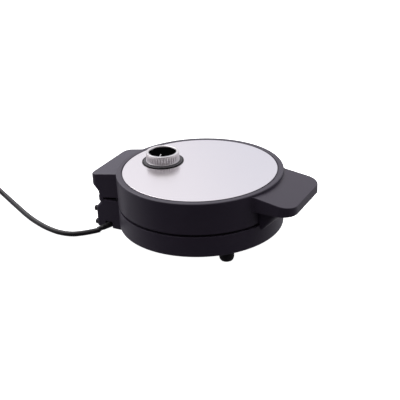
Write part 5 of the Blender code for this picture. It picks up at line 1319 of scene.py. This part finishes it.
cover_high = HANDLE_UNDER_Z + HANDLE_COVER
handle_cover = stack("handle_cover_moulding", [
    handle_ring(COVER_INSET + shrink, level) for shrink, level in
    ((COVER_ROUND, HANDLE_UNDER_Z), (0, HANDLE_UNDER_Z + COVER_ROUND), (0, cover_high))])
handle_cover_steps = [(CUT, disc_plug("handle_cover_back", WALL_RADIUS + 2 * SEAT_GAP,
                                      CUT_LOW_Z, CUT_HIGH_Z))]
for sign in (-1, 1):
    x, y = sign * HANDLE_SCREW_X, DISC_Y - HANDLE_SCREW_REACH
    handle_cover_steps += [
        (CUT, post(f"head_pocket_{sign}", x, y, HANDLE_UNDER_Z - PAST,
                   HANDLE_UNDER_Z + HEAD_POCKET_DEEP, HEAD_POCKET, 28)),
        (CUT, post(f"head_hole_{sign}", x, y, HANDLE_UNDER_Z, cover_high + PAST, BOSS_BORE, 20)),
    ]
handle_cover = worked(handle_cover, *handle_cover_steps)
fitted(handle_cover, moulding, "lid", "housing", "handle_cover")


# Steel panel
# A pressed stainless disc, finely brushed, let into the lid's rim with a narrow dark groove round it.
# Its edge is rolled down, and the thermostat's shaft comes up through a hole in it.

PANEL_RADIUS = 0.0970
PANEL_THICKNESS = 0.0008
PANEL_EDGE = 0.0016
PANEL_ROUND = 0.0003
PANEL_HOLE = 0.0055
HOLE_DEEP = 0.005
DIAL = middle("dial_bezel")
STEEL = (0.92, 0.865, 0.895)
STEEL_PAINTED_DARK_REFLECTION = (0.79, 0.77, 0.83)
STEEL_DULL = (0.88, 0.86, 0.88)

panel = turned("steel_disc", [
    (0, PANEL_TOP_Z),
    *arc(PANEL_RADIUS - PANEL_ROUND, PANEL_TOP_Z - PANEL_ROUND, PANEL_ROUND, 90, 0, 6),
    (PANEL_RADIUS, PANEL_TOP_Z - PANEL_EDGE),
    (PANEL_RADIUS - PANEL_THICKNESS, PANEL_TOP_Z - PANEL_EDGE),
    (PANEL_RADIUS - PANEL_THICKNESS, PANEL_TOP_Z - PANEL_ROUND),
    (PANEL_RADIUS - PANEL_ROUND, PANEL_TOP_Z - PANEL_THICKNESS),
    (0, PANEL_TOP_Z - PANEL_THICKNESS),
], (0, DISC_Y, 0), RING_STEPS)
panel = worked(panel, (CUT, post("panel_hole", DIAL.x, DIAL.y, PANEL_TOP_Z - HOLE_DEEP,
                                 PANEL_TOP_Z + HOLE_DEEP, PANEL_HOLE)))
steel = Finish("brushed_steel", metallic=1.0)
streak = steel.noise(60, 4, 0.6, steel.place((60, 1.2, 60), (0, 0, math.radians(4))))
cloud = steel.noise(9, 3)
along, across, _ = steel.parts_of(steel.place())
# The disc is painted cooler and darker towards one side: a painted reflection of the tent's uneven light.
painted_reflection_tone = steel.blend((along * 0.47 - across * 0.88).rise(-0.08, 0.10), STEEL, STEEL_PAINTED_DARK_REFLECTION)
steel.set("Base Color", steel.blend(streak * 0.4 + cloud * 0.3, painted_reflection_tone, STEEL_DULL))
steel.set("Roughness", 0.19 + streak * 0.07 + cloud * 0.04)
steel.bump(streak, 0.000012)
even_normals(panel)
fitted(panel, steel, "lid", "panel", "lid_panel")


# Dial bezel
# A flat dark ring glued on the steel round the knob, with pale printed marks for the heat settings
# that grow from faint to strong as the dial is turned up. Its face is painted grey for the sheen of
# black plastic, and a painted shadow darkens its outer edge where it meets the steel.

BEZEL_RADIUS = 0.0267
BEZEL_HOLE = 0.0065
BEZEL_ROUND = 0.0003
MARKS = 19
MARK_SWEEP = 270.0
MARK_START = 62.0
MARK_RADIUS = 0.0247
MARK_LENGTH = 0.0022
MARK_WIDTH = 0.0007
MARK_TALL = 0.00006
BEZEL_INSIDE = BEZEL_RADIUS - 0.0018
BEZEL_BLUR = 0.0002
BEZEL_PAINTED_SHEEN = (0.085, 0.082, 0.090)
BEZEL_PAINTED_SHEEN_PALE = (0.15, 0.145, 0.155)
BEZEL_PAINTED_GROOVE_SHADOW = (0.010, 0.0095, 0.011)
PRINT_GREY = (0.16, 0.16, 0.17)
PRINT_PALE = (0.22, 0.22, 0.23)

low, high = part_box("dial_bezel")
bezel = turned("scale_ring", [
    (BEZEL_HOLE, high.z),
    *arc(BEZEL_RADIUS - BEZEL_ROUND, high.z - BEZEL_ROUND, BEZEL_ROUND, 90, 0, 4),
    (BEZEL_RADIUS, low.z),
    (BEZEL_HOLE, low.z),
], (DIAL.x, DIAL.y, 0), 128)
# The ring's gloss is kept low, since its sheen is painted into its colour.
bezel_painted_light = Finish("bezel_lacquer", specular_ior_level=0.08)
mottle = bezel_painted_light.noise(420, 3, 0.6).rise(0.3, 0.75)
side_x, side_y, _ = bezel_painted_light.parts_of(bezel_painted_light.place(centre=(-DIAL.x, -DIAL.y, 0)))
outward = (side_x * side_x + side_y * side_y) ** 0.5
# A painted shadow darkens the ring's outer edge, standing for the shaded groove where it meets the steel.
painted_groove_shadow_share = outward.rise(BEZEL_INSIDE - BEZEL_BLUR, BEZEL_INSIDE + BEZEL_BLUR)
# The face's grey is painted sheen of black plastic, mottled at random.
painted_sheen_face = bezel_painted_light.blend(mottle, BEZEL_PAINTED_SHEEN, BEZEL_PAINTED_SHEEN_PALE)
bezel_painted_light.set("Base Color", bezel_painted_light.blend(painted_groove_shadow_share, painted_sheen_face, BEZEL_PAINTED_GROOVE_SHADOW))
bezel_painted_light.set("Roughness", 0.32 + mottle * 0.12)
fitted(bezel, bezel_painted_light, "lid", "bezel", "dial_bezel")

marks = Pattern("scale_marks", {"Marks": MARKS, "Radius": MARK_RADIUS, "Start": math.radians(MARK_START),
                                "Sweep": math.radians(MARK_SWEEP), "Length": MARK_LENGTH, "Width": MARK_WIDTH,
                                "Tall": MARK_TALL})
size = marks.size
bow = marks.node("GeometryNodeCurveArc", values={"Resolution": size["Marks"], "Radius": size["Radius"],
                                                 "Start Angle": size["Start"], "Sweep Angle": size["Sweep"]})
stops = marks.node("GeometryNodeCurveToPoints", {"mode": "EVALUATED"}, {"Curve": bow})
bar_size = marks.vector(size["Length"], size["Tall"] * 2, size["Width"])
mark = marks.node("GeometryNodeMeshCube", values={"Size": bar_size})
turn = Reading(marks, stops.socket.node.outputs["Rotation"])
index = marks.node("GeometryNodeInputIndex")
grow = 0.35 + index / size["Marks"] * 0.65
printed = Finish("scale_print", roughness=0.5)
printed.mottled(printed.noise(1500, 2), PRINT_GREY, PRINT_PALE)
stretch = marks.vector(1.0, 1.0, grow)
scale_marks = marks.piece(marks.repeated(stops, mark, rotation=turn, scale=stretch), printed.material)
scale_marks.data.transform(Matrix.Translation((DIAL.x, DIAL.y, high.z)))
fitted(scale_marks, printed, "lid", "bezel", "dial_bezel")


# Thermostat knob
# A bright metallised skirt, moulded with fine flutes between a plain foot and a plain collar. A black
# cap is let into it a little below its top, with a short bright pointer stuck on near its edge.

KNOB_FOOT = 0.0216
KNOB_COLLAR = 0.0212
KNOB_BORE = 0.0177
FOOT_BAND = 0.0014
COLLAR_BAND = 0.0016
KNOB_ROUND = 0.0005
BORE_BEVEL = 0.0003
FLUTES = 40
FLUTE_DEEP = 0.0008
FLUTE_STEPS = 8
FLUTE_FADE = 0.0012
FLUTE_RISE = 0.0004
CAP_RECESS = 0.0012
CAP_ROUND = 0.0004
CAP_DISH = 0.0001
CAP_BORE = 0.0032
CAP_SHAFT = 0.0075
POINTER_LENGTH = 0.0080
POINTER_HALF = 0.0006
POINTER_TALL = 0.0005
POINTER_INSET = 0.0008
POINTER_BEVEL = 0.00015
POINTER_ANGLE = math.radians(197)
BRIGHT = (0.82, 0.79, 0.80)
BRIGHT_DULL = (0.74, 0.71, 0.73)
CAP_BLACK = (0.0012, 0.0012, 0.0014)
CAP_GREY = (0.002, 0.0019, 0.0022)

foot_z, collar_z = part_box("knob_skirt")[0].z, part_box("knob_skirt")[1].z


def knob_ring(radius, level, flute=0.0):
    ring = []
    for step in range(FLUTES * FLUTE_STEPS):
        angle = 2 * math.pi * step / (FLUTES * FLUTE_STEPS)
        reach = radius - flute * abs(math.sin(FLUTES * angle / 2))
        ring.append((DIAL.x + reach * math.cos(angle), DIAL.y + reach * math.sin(angle), level))
    return ring


flute_low, flute_high = foot_z + FOOT_BAND + FLUTE_RISE, collar_z - COLLAR_BAND
flute_foot = KNOB_FOOT - BORE_BEVEL
def knob_band(profile):
    return [knob_ring(radius, level) for radius, level in profile]


skirt_rings = knob_band([
    (KNOB_BORE, foot_z),
    *arc(KNOB_FOOT - KNOB_ROUND, foot_z + KNOB_ROUND, KNOB_ROUND, -90, 0, 3),
    *arc(KNOB_FOOT - KNOB_ROUND, foot_z + FOOT_BAND - KNOB_ROUND, KNOB_ROUND, 0, 80, 3),
])
for step in range(9):
    share = step / 8
    level = flute_low + share * (flute_high - flute_low)
    fade = min(1.0, (level - flute_low) / FLUTE_FADE, (flute_high - level) / FLUTE_FADE)
    depth = FLUTE_DEEP * math.sqrt(max(0.0, 1 - (1 - fade) ** 2))
    skirt_rings.append(knob_ring(flute_foot + share * (KNOB_COLLAR - flute_foot), level, depth))
skirt_rings += knob_band([
    *arc(KNOB_COLLAR - KNOB_ROUND, collar_z - KNOB_ROUND, KNOB_ROUND, 0, 90, 4),
    (KNOB_BORE + BORE_BEVEL, collar_z),
    (KNOB_BORE, collar_z - BORE_BEVEL),
])
skirt = stack("fluted_skirt", skirt_rings, looped=True, sharp=50)
chrome = Finish("bright_metallising", metallic=0.55)
haze = chrome.noise(500, 3)
chrome.mottled(haze, BRIGHT, BRIGHT_DULL, 0.16, 0.08)
fitted(skirt, chrome, "knob", "knob", "knob_skirt")

cap_top, cap_radius, cap_foot = collar_z - CAP_RECESS, KNOB_BORE - SEAT_GAP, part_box("knob_cap")[0].z
cap = turned("black_cap", [
    (0, cap_top - CAP_DISH),
    *arc(cap_radius - CAP_ROUND, cap_top - CAP_ROUND, CAP_ROUND, 90, 0, 4),
    (cap_radius, cap_foot),
    (0, cap_foot),
], (DIAL.x, DIAL.y, 0), 128)
cap = worked(cap, (CUT, post("cap_bore", DIAL.x, DIAL.y, cap_foot - PAST, cap_foot + CAP_SHAFT,
                             CAP_BORE)))
cap_black = Finish("cap_black", specular_ior_level=0.0)
cap_grain = cap_black.noise(1800, 2)
cap_black.mottled(cap_grain, CAP_BLACK, CAP_GREY, 0.42, 0.08)
fitted(cap, cap_black, "knob", "knob_cap", "knob_cap")

outer = cap_radius - POINTER_INSET
pointer_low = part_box("knob_pointer")[0].z
pointer_rings = []
pointer_turn = Matrix.Rotation(POINTER_ANGLE, 3, "Z")
for shrink, rise in ((0, 0), (0, POINTER_TALL * 0.6), (POINTER_BEVEL, POINTER_TALL)):
    half = POINTER_HALF - shrink
    outline = rounded_box(outer - POINTER_LENGTH + shrink, outer - shrink, -half, half, half * 0.9, 4)
    pointer_rings.append([pointer_turn @ Vector((x, y, pointer_low + rise)) + Vector((DIAL.x, DIAL.y, 0))
                          for x, y in outline])
pointer = stack("bright_pointer", pointer_rings)
fitted(pointer, chrome, "knob", "knob", "knob_pointer")


# Inside pieces
# Sheathed elements and bright reflectors lie behind the plates, with the fuse, the terminals and the
# cord's gland in the base, the thermostat under the panel, and steel pins in the hinge. They keep
# their CAD shapes, since the closed mouldings hide them.

element_metal = Finish("element_sheath", metallic=0.9)
scale = element_metal.noise(300, 4, 0.7).rise(0.35, 0.7)
element_metal.mottled(scale, (0.33, 0.32, 0.32), (0.16, 0.14, 0.13), 0.35, 0.25)
reflector_metal = Finish("reflector_metal", metallic=1.0)
rolled = reflector_metal.noise(40, 3, 0.5, reflector_metal.place((1, 30, 1)))
reflector_metal.mottled(rolled, (0.80, 0.80, 0.81), (0.70, 0.70, 0.72), 0.18, 0.14)
ceramic = Finish("ceramic", specular_ior_level=0.4)
grain = ceramic.noise(800, 4, 0.6)
ceramic.mottled(grain, (0.72, 0.69, 0.62), (0.62, 0.59, 0.52), 0.55, 0.15)
ceramic.bump(grain, 0.00005)


def dress(finish, *nodes):
    for node in nodes:
        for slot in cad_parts[node].material_slots:
            slot.material = finish.material


dress(element_metal, "lower_element", "upper_element")
dress(reflector_metal, "lower_reflector", "upper_reflector")
dress(ceramic, "thermal_fuse", "terminal_block", "thermostat_body")
dress(moulding, "cord_gland")
dress(zinc, "thermostat_bracket", "thermostat_shaft", "hinge_pin_left", "hinge_pin_right")
